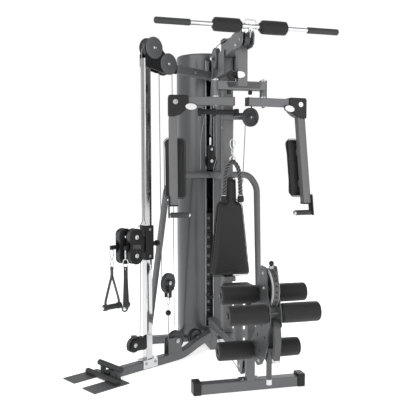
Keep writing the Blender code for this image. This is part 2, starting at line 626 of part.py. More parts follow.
def build_carriage():
    sleeve = bar("carriage", [tower(0, 0, 0.662), tower(0, 0, 0.868)], ACROSS, 0.062, 0.062, "black_plastic",
                 0.004)
    core = bar("carriage_core", [tower(0, 0, 0.5), tower(0, 0, 1.0)], ACROSS, 0.045 + 2 * GAP,
               0.045 + 2 * GAP, None, 0)
    boss = rod("carriage_boss", tower(0.028, 0, HEAD_Z), tower(0.055, 0, HEAD_Z), 0.014)
    arm = bar("carriage_arm", [tower(-0.028, 0, HEAD_Z), tower(-0.056, 0, HEAD_Z)], ACROSS, 0.04, 0.09)
    second = bar("carriage_arm_back", [tower(-0.024, 0.0285, HEAD_Z), tower(-0.0975, 0.0285, HEAD_Z)], ACROSS, 0.018, 0.05)
    join(sleeve, boss, arm, second)
    cut(sleeve, core, rod("plunger_bore", tower(0.02, 0, HEAD_Z), tower(0.1, 0, HEAD_Z), 0.0063))
    stem = rod("carriage_knob", tower(0.024, 0, HEAD_Z), tower(0.085, 0, HEAD_Z), 0.006, "black_plastic", 16)
    join(stem, rod("carriage_knob_grip", tower(0.064, 0, HEAD_Z), tower(0.092, 0, HEAD_Z), 0.018, None, 16, 0.003))
    for word, n, a in (("front", -0.026, -0.112), ("back", 0.03, -0.148)):
        outline = []
        for k in range(5):
            t = math.radians(180 * k / 4)
            outline.append((a + 0.05 * math.cos(t), HEAD_Z + 0.055 + 0.05 * math.sin(t)))
        outline.append((a - 0.043, HEAD_Z))
        for k in range(5):
            t = math.radians(180 + 180 * k / 4)
            outline.append((a + 0.05 * math.cos(t), HEAD_Z - 0.055 + 0.05 * math.sin(t)))
        outline.append((a + 0.043, HEAD_Z))
        block_ = plate("pulley_head_" + word, outline, tower(0, n - 0.0185, 0), ALONG, UP, 0.006,
                       "black_plastic", 0)
        rear = plate("head_rear_" + word, outline, tower(0, n + 0.0185, 0), ALONG, UP, 0.006)
        pins = [rod(f"head_pin_{word}_{s}", tower(a, n - 0.026, HEAD_Z + s * 0.055),
                    tower(a, n + 0.024, HEAD_Z + s * 0.055), 0.007) for s in (-1, 1)]
        join(block_, rear, *pins)
        wheels = [rod(f"head_wheel_{word}_{s}", tower(a, n - 0.013, HEAD_Z + s * 0.055),
                      tower(a, n + 0.013, HEAD_Z + s * 0.055), 0.047, None, 18, 0) for s in (-1, 1)]
        join(block_, *wheels)


def build_hanging():
    for word, a, n in (("front", -0.178, -0.026), ("back", -0.235, 0.03)):
        top = tower(a, n, HEAD_Z - 0.03)
        hang = ALONG if word == "back" else Vector((0.25, 0.97, 0)).normalized()
        head_a = a + (0.066 if word == "front" else 0.087)
        low = top + UP * -0.315
        strap = rod("strap_handle_" + word, top + UP * 0.012, top + UP * -0.125, 0.009, "rope", 12, 0.002)
        grip = rod(f"strap_grip_{word}", low - hang * 0.058, low + hang * 0.058, 0.015, None, 12, 0)
        legs = [rod(f"strap_leg_{word}_{k}", top + UP * -0.115, low + hang * k * 0.046, 0.006, None, 10)
                for k in (-1, 1)]
        join(strap, grip, *legs)
        pulled = rod(f"strap_ring_{word}", top + UP * 0.0, top + UP * -0.03, 0.012, None, 12)
        join(strap, pulled)
        stub = rod(f"hook_{word}", tower(head_a - 0.025, n, HEAD_Z), tower(a - 0.012, n, HEAD_Z), 0.01, None, 12)
        waist = bar(f"waist_{word}", [tower(head_a - 0.01, n, HEAD_Z), tower(head_a - 0.034, n, HEAD_Z)], ACROSS, 0.036,
                    0.016, None, 0)
        join(bpy.data.objects["pulley_head_" + word], waist, stub)
    y = -0.676
    rope = rod("triceps_rope", (0, y, 1.362), (0, y, 1.235), 0.009, "rope", 12, 0.002)
    path = [(-0.05, y, 1.02), (-0.043, y, 1.2), (0, y, 1.248), (0.043, y, 1.2), (0.05, y, 1.02)]
    join(rope, wire("rope_strands", rounded(path, 0.02), 0.0125, None, 2))
    for side in (-1, 1):
        join(rope, rod(f"rope_end_{side}", (side * 0.05, y, 1.04), (side * 0.05, y, 1.005), 0.02, None, 12, 0.004))
    centre = Vector((-0.338, -0.42, 0.497))
    tilt = Vector((0.75, 0.66, 0)).normalized()
    face = UP.cross(tilt)
    block_ = rod("floating_pulley", centre - face * 0.0115, centre + face * 0.0115, 0.0625, "pulley_plastic", 20, 0)
    strap = plate(
        "float_strap", [(-0.014, -0.09), (0.014, -0.09), (0.014, 0.02), (-0.014, 0.02)],
        centre, tilt, UP, 0.032, None, 0.001,
    )
    hook = rod("float_hook", centre + UP * -0.08, centre + UP * -0.19, 0.006, None, 12)
    ball = rod("float_ball", centre + UP * -0.17, centre + UP * -0.206, 0.018, None, 14, 0.006)
    join(block_, strap, hook, ball)
    lift = block("cable_block", (-0.052, -0.305, 1.195), (-0.008, -0.247, 1.345), "black_plastic", 0.006)
    join(lift, rod("block_neck", (-0.03, -0.276, 1.33), (-0.03, -0.276, 1.4), 0.01, None, 12))
    wire("tower_cable", [tower(0.218, 0.031, 1.765), tower(0.218, 0.031, 0.5)], 0.003, "cable", 1)
    wire("low_cable", [(-0.006, -0.3, 0.12), (-0.006, -0.84, 0.055)], 0.003, "cable", 1)


PARTS = None
HELPERS = None


def main():
    global PARTS, HELPERS
    for obj in list(bpy.data.objects):
        bpy.data.objects.remove(obj)
    PARTS = collection("multi_station_home_gym", False)
    HELPERS = collection("cutters", True)
    build_base()
    build_column()
    build_shroud()
    build_seat()
    build_leg_station()
    build_press()
    build_arm("left", -1)
    build_arm("right", 1)
    build_lat_bar()
    build_tower()
    build_carriage()
    build_hanging()
    print(len(PARTS.objects), "parts")


main()
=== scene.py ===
"""Looks of the multi station home gym: finishes, pads, rolls, pulleys, cables and fittings round the CAD frame."""

import math

import bmesh
import bpy
import numpy as np
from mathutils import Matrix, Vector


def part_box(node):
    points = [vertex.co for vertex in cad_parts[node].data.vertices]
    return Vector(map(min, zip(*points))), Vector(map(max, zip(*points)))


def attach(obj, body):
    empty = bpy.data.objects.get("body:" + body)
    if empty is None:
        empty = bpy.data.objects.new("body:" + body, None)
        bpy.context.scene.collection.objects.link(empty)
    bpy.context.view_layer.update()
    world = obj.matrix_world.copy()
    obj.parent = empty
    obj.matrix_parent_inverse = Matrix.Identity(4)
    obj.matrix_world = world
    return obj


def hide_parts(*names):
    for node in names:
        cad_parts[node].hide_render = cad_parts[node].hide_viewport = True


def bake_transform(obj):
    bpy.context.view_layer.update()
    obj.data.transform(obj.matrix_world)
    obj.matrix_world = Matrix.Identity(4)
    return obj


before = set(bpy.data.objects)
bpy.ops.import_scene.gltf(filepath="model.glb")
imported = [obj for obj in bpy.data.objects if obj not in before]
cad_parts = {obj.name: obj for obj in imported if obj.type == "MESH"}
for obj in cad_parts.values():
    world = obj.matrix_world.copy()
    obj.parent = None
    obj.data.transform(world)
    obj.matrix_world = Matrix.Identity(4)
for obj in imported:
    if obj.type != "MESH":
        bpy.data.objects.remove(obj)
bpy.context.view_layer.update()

# Driving sizes. Places are in the same drawing metres as the CAD, and SCALE makes them real ones.
SCALE = 1.05
MM = 0.001
SHROUD_R = 0.19
SHROUD_LOW = 0.0503
SHROUD_TOP = 1.95
SHROUD_WALL = 0.004
SLOT_X = (-0.038, 0.012)
SLOT_Z = (0.145, 1.9)
ARM_Y = -0.815
ARM_Z = 1.58
UPRIGHT_X = 0.378
LEG_PIVOT = (-1.233, 0.58)
CURL_AXLE = (-1.39, 0.513)
ANKLE_AXLE = (-1.162, 0.273)
DISC = (-1.33, 0.628)
DISC_R = 0.098
ARM_PIVOT_X = 0.138
LAT_BAR_TURN = 3.5
ARM_OPEN = 8
ARM_LEAN = 0.16
ARM_LEAN_FROM = 1.475
HEAD_Z = 0.754
CABLE_R = 0.0026
LAT_BAR = (-1.0, 1.957)
ROPE_Y = -0.676
PLATE_PITCH = 0.0625
PLATE_GAP = 0.0022
SIDES = (("left", -1), ("right", 1))
X = np.array([1.0, 0.0, 0.0])
Y = np.array([0.0, 1.0, 0.0])
Z = np.array([0.0, 0.0, 1.0])
TOWER = np.array([-0.4815, -0.503, 0.0])
ALONG = np.array([math.cos(math.radians(30)), math.sin(math.radians(30)), 0.0])
ACROSS = np.array([-math.sin(math.radians(30)), math.cos(math.radians(30)), 0.0])
CAMERA_PLACE = (-1.108, -4.459, 1.3125)
CAMERA_TURN = (85.72, 0.0, -14.3)
CAMERA_LENS = 54.8


# Shapes. Each one is (points, faces), with points in real metres.


def real(*place):
    """Drawing metres as real metres."""
    return np.array(place, float) * SCALE


def tower(a, n, z):
    """A point in the side tower's own directions: along its arm, across it, and up, in real metres."""
    return (TOWER + ALONG * a + ACROSS * n + Z * z) * SCALE


def unit(v):
    return np.asarray(v, float) / np.linalg.norm(v)


def square_to(axis):
    """Two unit directions square to the axis and to each other."""
    axis = unit(axis)
    helper = X if abs(axis[0]) < 0.8 else Y
    u = unit(np.cross(axis, helper))
    return u, np.cross(axis, u)


def grid(points, wrap_rows=False, wrap_columns=False, caps=False):
    """Quads between neighbours of a rows by columns grid, with flat ends where caps is set."""
    rows, columns = points.shape[:2]
    index = np.arange(rows * columns).reshape(rows, columns)
    first, last = index[0], index[-1]
    if wrap_rows:
        index = np.vstack([index, index[:1]])
    if wrap_columns:
        index = np.hstack([index, index[:, :1]])
    quads = np.stack([index[:-1, :-1], index[:-1, 1:], index[1:, 1:], index[1:, :-1]], -1)
    faces = quads.reshape(-1, 4).tolist()
    if caps:
        faces += [first[::-1].tolist(), last.tolist()]
    return points.reshape(-1, 3), faces


def turned(centre, axis, profile, steps=48, ring=False):
    """A turned shape: point = centre + h axis + r (cos t u + sin t v), over profile points (r, h) and turn t."""
    profile = np.array(profile, float)
    u, v = square_to(axis)
    t = np.linspace(0, 2 * math.pi, steps, endpoint=False)
    around = np.cos(t)[:, None] * u + np.sin(t)[:, None] * v
    rise = profile[:, 1][:, None, None] * unit(axis)
    return grid(np.asarray(centre) + rise + profile[:, 0][:, None, None] * around, ring, True)


def sweep(path, section, hint, caps=True, closed=False):
    """A section carried along a path: point = path + a side + b rise, with side = hint made square to the path.
    section is (points, 2), or (path points, points, 2) where it changes along the way."""
    path = np.asarray(path, float)
    section = np.broadcast_to(section, (len(path),) + np.shape(section)[-2:])
    if closed:
        tangent = np.roll(path, -1, 0) - np.roll(path, 1, 0)
    else:
        tangent = np.gradient(path, axis=0)
    tangent = tangent / np.linalg.norm(tangent, axis=1)[:, None]
    side = np.asarray(hint, float) - tangent * (tangent @ np.asarray(hint, float))[:, None]
    side = side / np.linalg.norm(side, axis=1)[:, None]
    rise = np.cross(tangent, side)
    points = path[:, None] + section[..., :1] * side[:, None] + section[..., 1:] * rise[:, None]
    return grid(points, closed, True, caps and not closed)


def circle(radius, sides=16, phase=0.0):
    t = np.linspace(0, 2 * math.pi, sides, endpoint=False) + phase
    return np.stack([np.cos(t), np.sin(t)], -1) * np.asarray(radius, float).reshape(-1, 1, 1)


def tube(path, radius, hint=X, sides=14, closed=False):
    """A round tube along a path, of one radius or of one radius for each path point."""
    section = circle(radius, sides)
    return sweep(path, section[0] if len(section) == 1 else section, hint, True, closed)


def fillet(points, radius, steps=8):
    """A path through corners, each rounded by the parabola through its two tangent points and the corner."""
    points = [np.asarray(p, float) for p in points]
    t = np.linspace(0, 1, steps + 1)[:, None]
    made = [points[0][None]]
    for before, corner, after in zip(points, points[1:], points[2:]):
        one = corner + unit(before - corner) * radius
        two = corner + unit(after - corner) * radius
        made.append(one * (1 - t) ** 2 + corner * 2 * t * (1 - t) + two * t * t)
    made.append(points[-1][None])
    return np.vstack(made)


def even(path, step):
    """The same path at even steps, by length."""
    length = np.r_[0, np.cumsum(np.linalg.norm(np.diff(path, axis=0), axis=1))]
    at = np.linspace(0, length[-1], max(2, int(round(length[-1] / step)) + 1))
    return np.stack([np.interp(at, length, path[:, k]) for k in range(3)], -1)


def soft_outline(corners, radius, steps=5):
    """A closed outline whose corners are rounded, as an array of (u, v)."""
    corners = np.asarray(corners, float)
    count = len(corners)
    radius = np.broadcast_to(radius, count)
    t = np.linspace(0, 1, steps + 1)[:, None]
    made = []
    for k in range(count):
        before, corner, after = corners[k - 1], corners[k], corners[(k + 1) % count]
        one = corner + unit(before - corner) * radius[k]
        two = corner + unit(after - corner) * radius[k]
        made.append(one * (1 - t) ** 2 + corner * 2 * t * (1 - t) + two * t * t)
    return np.vstack(made)


def oval(half_u, half_v, steps=40, power=2.0):
    """A superellipse outline: |u/a|^p + |v/b|^p = 1."""
    t = np.linspace(0, 2 * math.pi, steps, endpoint=False)
    c, s = np.cos(t), np.sin(t)
    bend = 2.0 / power
    return np.stack([half_u * np.sign(c) * abs(c) ** bend, half_v * np.sign(s) * abs(s) ** bend], -1)


def inset(outline, distance):
    """The outline moved inwards by a distance along its own normals."""
    ahead = np.roll(outline, -1, 0) - outline
    behind = outline - np.roll(outline, 1, 0)
    ahead = ahead / np.linalg.norm(ahead, axis=1)[:, None].clip(1e-9)
    behind = behind / np.linalg.norm(behind, axis=1)[:, None].clip(1e-9)
    along = ahead + behind
    along = along / np.linalg.norm(along, axis=1)[:, None].clip(1e-9)
    area = np.sum(outline[:, 0] * np.roll(outline[:, 1], -1) - np.roll(outline[:, 0], -1) * outline[:, 1])
    inward = np.stack([-along[:, 1], along[:, 0]], -1) * np.sign(area)
    return outline + inward * distance


def slab(outline, origin, u, v, thickness, edge, crown=0.0, rings=4):
    """A plate with a rounded edge: at edge angle t it is inset by e(1 - cos t) and e sin t past the flat part."""
    u, v = unit(u), unit(v)
    w = np.cross(u, v)
    turn = np.linspace(-math.pi / 2, math.pi / 2, 2 * rings + 1)
    flat = thickness / 2 - edge
    height = edge * np.sin(turn) + flat * np.sign(np.sin(turn) + 1e-12)
    rows = [inset(outline, edge * (1 - math.cos(t))) for t in turn]
    heights = list(height)
    if crown:
        for share, rise in ((0.35, 0.6), (0.7, 0.9), (0.9, 1.0)):
            rows.append(rows[-1] * 0 + rows[-1].mean(0) + (rows[2 * rings] - rows[-1].mean(0)) * (1 - share))
            heights.append(thickness / 2 + crown * rise)
    grid_points = [np.asarray(origin) + r[:, :1] * u + r[:, 1:] * v + h * w for r, h in zip(rows, heights)]
    return grid(np.stack(grid_points), False, True, True)


def rounded_box(low, high, edge, corner=None):
    """A box between two real corners, all its edges rounded."""
    low, high = np.asarray(low, float), np.asarray(high, float)
    half = (high - low) / 2
    corner = corner or edge * 1.4
    outline = soft_outline([(-half[0], -half[1]), (half[0], -half[1]), half[:2], (-half[0], half[1])], corner)
    return slab(outline, (low + high) / 2, X, Y, 2 * half[2], edge)


def bolt(centre, axis, radius=0.0075, height=0.005):
    """A domed screw head on a washer, with a socket in it."""
    profile = [
        (0.0, 0.35 * height), (0.42 * radius, 0.35 * height), (0.46 * radius, 0.95 * height),
        (0.72 * radius, height), (0.93 * radius, 0.72 * height), (radius, 0.3 * height),
        (radius, 0.22 * height), (1.4 * radius, 0.2 * height), (1.45 * radius, -0.1 * height),
        (1.45 * radius, -0.5 * height), (0.0, -0.5 * height),
    ]
    return turned(centre, axis, profile, 18)


def sheave(centre, axis, radius, width, depth=0.12, hub=0.3):
    """A grooved wheel: two flanges, a groove between them, a dished web and a raised hub."""
    half = width / 2
    inner = [
        (hub * radius * 0.55, half * 0.98), (hub * radius, half * 0.9), (hub * radius * 1.15, half * 0.45),
        (0.76 * radius, half * 0.45), (0.84 * radius, half * 0.9), (0.93 * radius, half),
        (0.985 * radius, half * 0.88), (radius, half * 0.66),
    ]
    floor = radius * (1 - depth)
    side = floor + 0.25 * radius * depth
    groove = [(side, half * 0.24), (floor, 0.0), (side, -half * 0.24)]
    back = [(r, -h) for r, h in reversed(inner)]
    return turned(centre, axis, inner + groove + back, 56, True)


def gather(shapes):
    """Several shapes as one."""
    points, faces, start = [], [], 0
    for some, quads in shapes:
        points.append(some)
        faces += [[i + start for i in face] for face in quads]
        start += len(some)
    return np.vstack(points), faces


def piece(name, shapes, finish, body, replaces=(), slot=None, sharp=38):
    """A mesh object of these shapes, in one finish, on one CAD body."""
    points, faces = gather(shapes)
    mesh = bpy.data.meshes.new(name)
    mesh.from_pydata(points, [], faces)
    bm = bmesh.new()
    bm.from_mesh(mesh)
    bmesh.ops.remove_doubles(bm, verts=bm.verts, dist=2e-6)
    bmesh.ops.recalc_face_normals(bm, faces=bm.faces)
    bm.to_mesh(mesh)
    bm.free()
    mesh.polygons.foreach_set("use_smooth", np.ones(len(mesh.polygons), bool))
    mesh.set_sharp_from_angle(angle=math.radians(sharp))
    obj = bpy.data.objects.new(name, mesh)
    bpy.context.scene.collection.objects.link(obj)
    mesh.materials.append(finish)
    if body:
        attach(obj, body)
    if replaces:
        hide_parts(*replaces)
    return obj


# Finishes.


def new_group(name, inputs, outputs):
    """A shader node group with these inputs and outputs, as (tree, its input node, its output node)."""
    tree = bpy.data.node_groups.new(name, "ShaderNodeTree")
    for label, kind, value in inputs:
        tree.interface.new_socket(label, in_out="INPUT", socket_type=kind).default_value = value
    for label, kind in outputs:
        tree.interface.new_socket(label, in_out="OUTPUT", socket_type=kind)
    return tree, tree.nodes.new("NodeGroupInput"), tree.nodes.new("NodeGroupOutput")


def node(tree, kind, inputs=(), **settings):
    made = tree.nodes.new(kind)
    for key, value in settings.items():
        setattr(made, key, value)
    for key, value in dict(inputs).items():
        if isinstance(value, bpy.types.NodeSocket):
            tree.links.new(value, made.inputs[key])
        else:
            made.inputs[key].default_value = value
    return made


def mottle_group():
    """Slow changes of tone and sheen, with fine specks: what handling, dust and a sprayed coat leave."""
    tree, inn, out = new_group(
        "mottle",
        [("Colour", "NodeSocketColor", (0.5, 0.5, 0.5, 1)), ("Rough", "NodeSocketFloat", 0.5),
         ("Scale", "NodeSocketFloat", 9.0), ("Amount", "NodeSocketFloat", 0.12)],
        [("Colour", "NodeSocketColor"), ("Rough", "NodeSocketFloat")],
    )
    place = node(tree, "ShaderNodeTexCoord").outputs["Object"]
    slow = node(tree, "ShaderNodeTexNoise", {"Vector": place, "Scale": inn.outputs["Scale"], "Detail": 5.0})
    speck = node(tree, "ShaderNodeTexNoise", {"Vector": place, "Scale": 420.0, "Detail": 2.0})
    both = node(tree, "ShaderNodeMath", {0: slow.outputs["Fac"], 1: speck.outputs["Fac"]}, operation="ADD")
    centred = node(tree, "ShaderNodeMath", {0: both.outputs[0], 1: -1.0}, operation="ADD")
    swing = node(tree, "ShaderNodeMath", {0: centred.outputs[0], 1: inn.outputs["Amount"]}, operation="MULTIPLY")
    bright = node(tree, "ShaderNodeMath", {0: swing.outputs[0], 1: 1.0}, operation="ADD")
    toned = node(tree, "ShaderNodeVectorMath",
                 {0: inn.outputs["Colour"], "Scale": bright.outputs[0]}, operation="SCALE")
    rough = node(tree, "ShaderNodeMath", {0: swing.outputs[0], 1: inn.outputs["Rough"]}, operation="ADD")
    tree.links.new(toned.outputs[0], out.inputs["Colour"])
    tree.links.new(rough.outputs[0], out.inputs["Rough"])
    return tree


def grain_group():
    """A sprayed coat's orange peel or a moulding's fine stipple, as a height."""
    tree, inn, out = new_group("grain", [("Scale", "NodeSocketFloat", 600.0)], [("Height", "NodeSocketFloat")])
    place = node(tree, "ShaderNodeTexCoord").outputs["Object"]
    noise = node(tree, "ShaderNodeTexNoise", {"Vector": place, "Scale": inn.outputs["Scale"], "Detail": 3.0})
    tree.links.new(noise.outputs["Fac"], out.inputs["Height"])
    return tree


def pebble_group():
    """Leather or foam cells: rounded bumps parted by creases, a little stretched by a slow noise."""
    tree, inn, out = new_group(
        "pebble", [("Scale", "NodeSocketFloat", 500.0), ("Crease", "NodeSocketFloat", 0.35)],
        [("Height", "NodeSocketFloat"), ("Pit", "NodeSocketFloat")],
    )
    place = node(tree, "ShaderNodeTexCoord").outputs["Object"]
    slow = node(tree, "ShaderNodeTexNoise", {"Vector": place, "Scale": 60.0, "Detail": 2.0})
    shift = node(tree, "ShaderNodeVectorMath", {0: slow.outputs["Color"], "Scale": 0.004}, operation="SCALE")
    moved = node(tree, "ShaderNodeVectorMath", {0: place, 1: shift.outputs[0]}, operation="ADD")
    cells = node(tree, "ShaderNodeTexVoronoi", {"Vector": moved.outputs[0], "Scale": inn.outputs["Scale"]},
                 feature="DISTANCE_TO_EDGE")
    crease = node(tree, "ShaderNodeMapRange",
                  {"Value": cells.outputs["Distance"], "From Max": inn.outputs["Crease"]})
    fine = node(tree, "ShaderNodeTexNoise", {"Vector": place, "Scale": 1500.0, "Detail": 2.0})
    lift = node(tree, "ShaderNodeMath", {0: fine.outputs["Fac"], 1: 0.25}, operation="MULTIPLY")
    total = node(tree, "ShaderNodeMath", {0: crease.outputs[0], 1: lift.outputs[0]}, operation="ADD")
    tree.links.new(total.outputs[0], out.inputs["Height"])
    tree.links.new(crease.outputs[0], out.inputs["Pit"])
    return tree


def weave_group():
    """Webbing: ribs across the band and a finer rib along it, as a height."""
    tree, inn, out = new_group("weave", [("Pitch", "NodeSocketFloat", 900.0)], [("Height", "NodeSocketFloat")])
    place = node(tree, "ShaderNodeTexCoord").outputs["Object"]
    across = node(tree, "ShaderNodeTexWave", {"Vector": place, "Scale": inn.outputs["Pitch"]}, bands_direction="Z")
    along = node(tree, "ShaderNodeTexWave", {"Vector": place, "Scale": inn.outputs["Pitch"]},
                 bands_direction="DIAGONAL")
    both = node(tree, "ShaderNodeMath", {0: across.outputs["Fac"], 1: along.outputs["Fac"]}, operation="ADD")
    tree.links.new(both.outputs[0], out.inputs["Height"])
    return tree


MOTTLE = mottle_group()
GRAIN = grain_group()
PEBBLE = pebble_group()
WEAVE = weave_group()


def finish(name, colour, rough, metal=0.0, relief=None, size=600.0, depth=0.1, mottle=(9.0, 0.12), **sockets):
    """A material: mottled colour and roughness, a relief group through a bump, and constants on the shader."""
    made = bpy.data.materials.new(name)
    made.use_nodes = True
    tree = made.node_tree
    shader = tree.nodes["Principled BSDF"]
    tone = node(tree, "ShaderNodeGroup", node_tree=MOTTLE)
    tone.inputs["Colour"].default_value = (*colour, 1.0)
    tone.inputs["Rough"].default_value = rough
    tone.inputs["Scale"].default_value = mottle[0]
    tone.inputs["Amount"].default_value = mottle[1]
    tree.links.new(tone.outputs["Colour"], shader.inputs["Base Color"])
    tree.links.new(tone.outputs["Rough"], shader.inputs["Roughness"])
    shader.inputs["Metallic"].default_value = metal
    for key, value in sockets.items():
        shader.inputs[key.replace("_", " ")].default_value = value
    if relief:
        height = node(tree, "ShaderNodeGroup", node_tree=relief)
        height.inputs[0].default_value = size
        bump = node(tree, "ShaderNodeBump", {"Height": height.outputs["Height"], "Strength": depth, "Distance": MM})
        tree.links.new(bump.outputs["Normal"], shader.inputs["Normal"])
    return made


PAINT = finish("frame_paint", (0.132, 0.136, 0.140), 0.46, 0.35, GRAIN, 520.0, 0.10, (7.0, 0.10), Coat_Weight=0.05,
               Coat_Roughness=0.35)
LEVER = finish("lever_paint", (0.078, 0.081, 0.084), 0.46, 0.35, GRAIN, 520.0, 0.10, (7.0, 0.10), Coat_Weight=0.05,
               Coat_Roughness=0.35)
SHROUD = finish("shroud_paint", (0.075, 0.078, 0.081), 0.30, 0.45, GRAIN, 700.0, 0.05, (3.0, 0.06), Coat_Weight=0.25,
                Coat_Roughness=0.15)
CHROME = finish("bright_chrome", (0.60, 0.61, 0.62), 0.09, 1.0, GRAIN, 30.0, 0.02, (14.0, 0.04))
STEEL = finish("zinc_steel", (0.42, 0.43, 0.44), 0.30, 1.0, GRAIN, 900.0, 0.05, (60.0, 0.10))
SILVER = finish("silver_badge", (0.66, 0.67, 0.68), 0.30, 0.35, GRAIN, 900.0, 0.04, (30.0, 0.05), Coat_Weight=0.4)
BLACK = finish("black_moulding", (0.009, 0.009, 0.010), 0.40, 0.0, GRAIN, 1100.0, 0.16, (12.0, 0.10),
               Specular_IOR_Level=0.34)
LABEL = finish("plain_label", (0.010, 0.010, 0.011), 0.22, 0.0, GRAIN, 1500.0, 0.03, (20.0, 0.05), Coat_Weight=0.5)
WHEEL = finish("pulley_nylon", (0.040, 0.043, 0.046), 0.40, 0.0, GRAIN, 900.0, 0.12, (16.0, 0.12))
COVER = finish("cover_nylon", (0.085, 0.088, 0.092), 0.50, 0.0, GRAIN, 900.0, 0.12, (16.0, 0.08))
RUBBER = finish("grip_rubber", (0.030, 0.031, 0.032), 0.62, 0.0, GRAIN, 800.0, 0.30, (20.0, 0.12))
FOAM = finish("roll_foam", (0.012, 0.012, 0.013), 0.62, 0.0, PEBBLE, 640.0, 0.30, (12.0, 0.14), Sheen_Weight=0.12,
              Sheen_Roughness=0.45, Specular_IOR_Level=0.34)
VINYL = finish("pad_vinyl", (0.013, 0.013, 0.014), 0.46, 0.0, PEBBLE, 520.0, 0.26, (8.0, 0.10), Sheen_Weight=0.06,
               Sheen_Roughness=0.4, Specular_IOR_Level=0.32)
ROPE = finish("twisted_rope", (0.085, 0.085, 0.088), 0.55, 0.0, WEAVE, 700.0, 0.5, (60.0, 0.30), Sheen_Weight=0.3)
WEBBING = finish("black_webbing", (0.016, 0.016, 0.017), 0.74, 0.0, WEAVE, 620.0, 0.5, (40.0, 0.16), Sheen_Weight=0.3)
CAST = finish("cast_plate_paint", (0.020, 0.020, 0.021), 0.50, 0.2, GRAIN, 350.0, 0.45, (20.0, 0.20))
CABLE = finish("cable_jacket", (0.20, 0.205, 0.21), 0.40, 0.25, WEAVE, 1500.0, 0.3, (60.0, 0.10))
# Painted shade: a near black finish for thin discs set in holes and for the rope's core, standing in for the shade
# inside holes and between yarns.
SHADOW = finish("painted_shade_dark", (0.004, 0.004, 0.004), 0.80, 0.0, GRAIN, 900.0, 0.05, (20.0, 0.05))


def dress(name, material):
    """A better finish for a CAD node that stays, its loose triangles joined for smooth light on its chamfers."""
    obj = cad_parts[name]
    obj.data.materials.clear()
    obj.data.materials.append(material)
    obj.data.polygons.foreach_set("use_smooth", np.ones(len(obj.data.polygons), bool))
    obj.modifiers.new("weld", "WELD").merge_threshold = 0.00002
    split = obj.modifiers.new("split", "EDGE_SPLIT")
    split.split_angle = math.radians(50)
    obj.modifiers.new("light", "WEIGHTED_NORMAL")
    return obj


# Frame.


def cap_over(low, high, grow=0.0008, edge=0.005):
    """A moulded end cap just outside a box of the frame, given in drawing metres."""
    low = real(*low) - grow
    high = real(*high) + grow
    low[2] = max(low[2], 0.0)
    return rounded_box(low, high, edge)


def build_frame():
    for name in ("rear_stabiliser", "front_stabiliser", "base_spine", "main_column", "leg_frame", "lat_boom",
                 "tower_base", "tower_brace", "seat_post"):
        dress(name, PAINT)
    dress("foot_plates", LEVER)
    dress("tower_post", CHROME)
    dress("tower_head", BLACK)
    caps = []
    for side in (-1, 1):
        x = sorted((side * 0.475, side * 0.515))
        caps.append(cap_over((x[0], -0.031, 0), (x[1], 0.031, 0.057)))
        x = sorted((side * 0.275, side * 0.318))
        caps.append(cap_over((x[0], -1.037, 0), (x[1], -0.968, 0.072)))
    caps.append(cap_over((-0.032, -0.587, 1.945), (0.032, -0.523, 1.97)))
    piece("tube_end_caps", caps, BLACK, "frame", slot="black_plastic")
    path = fillet([real(-0.40, 0.0, 0.0505), real(-0.305, -0.215, 1.08), real(-0.245, -0.222, 1.16),
                   real(0.245, -0.222, 1.16), real(0.305, -0.215, 1.08), real(0.40, 0.0, 0.0505)], 0.045, 14)
    hoop = tube(path, 0.021 * SCALE, Y, 28)
    stay = rounded_box(real(-0.02, -0.5245, 1.14), real(0.02, -0.232, 1.18), 0.003)
    feet = [rounded_box(real(side * 0.40 - 0.034, -0.026, 0.0505), real(side * 0.40 + 0.034, 0.026, 0.057), 0.002)
            for side in (-1, 1)]
    piece("support_hoop", [hoop, stay, *feet], PAINT, "frame", ["frame_hoop"], "frame_paint")
    bolts = []
    bolts += [bolt(real(0.02, -0.50, 1.16), X), bolt(real(-0.02, -0.50, 1.16), -X)]
    for side in (-1, 1):
        bolts.append(bolt(real(side * 0.40 + 0.026, -0.012, 0.057), Z, 0.006))
        bolts.append(bolt(real(side * 0.40 - 0.026, -0.012, 0.057), Z, 0.006))
    for z in (1.55, 1.45):
        bolts.append(bolt(real(-0.030, -0.555, z), -X, 0.006))
    bolts += [bolt(real(0.0, -0.5855, 1.70), -Y, 0.008), bolt(real(-0.03, -0.555, 1.85), -X, 0.008),
              bolt(real(-0.03, -0.555, 1.80), -X, 0.008), bolt(real(0.03, -0.555, 1.85), X, 0.008),
              bolt(real(0.03, -0.555, 1.80), X, 0.008)]
    for z in (0.66, 0.72, 1.02):
        bolts.append(bolt(real(-0.045, -0.594, z), -X, 0.0055))
        bolts.append(bolt(real(0.045, -0.594, z), X, 0.0055))
    for x in (-0.024, 0.024):
        bolts.append(bolt(real(x, -0.6405, 0.545), -Y, 0.005))
    for x in (-0.04, 0.04):
        bolts.append(bolt(real(x, -1.02, 0.0642), Z, 0.005))
    for y, z in ((-0.235, 0.18), (-0.235, 0.10)):
        bolts += [bolt(real(-0.025, y, z), -X, 0.006), bolt(real(0.025, y, z), X, 0.006)]
    for y, z in ((-1.02, 0.44), (-1.02, 0.10), (-1.02, 0.18)):
        bolts += [bolt(real(-0.0225, y, z), -X, 0.006), bolt(real(0.0225, y, z), X, 0.006)]
    piece("frame_bolts", bolts, STEEL, "frame", slot="chrome")
    flats = []
    for side in (-1, 1):
        flats.append(rounded_box(real(side * 0.0365 - 0.003, -0.62, 1.755), real(side * 0.0365 + 0.003, -0.50, 1.90),
                                 0.0015))
    flats.append(rounded_box(real(-0.045, -0.60, 0.213), real(0.045, -0.51, 0.221), 0.0015))
    piece("column_plates", flats, PAINT, "frame", slot="frame_paint")


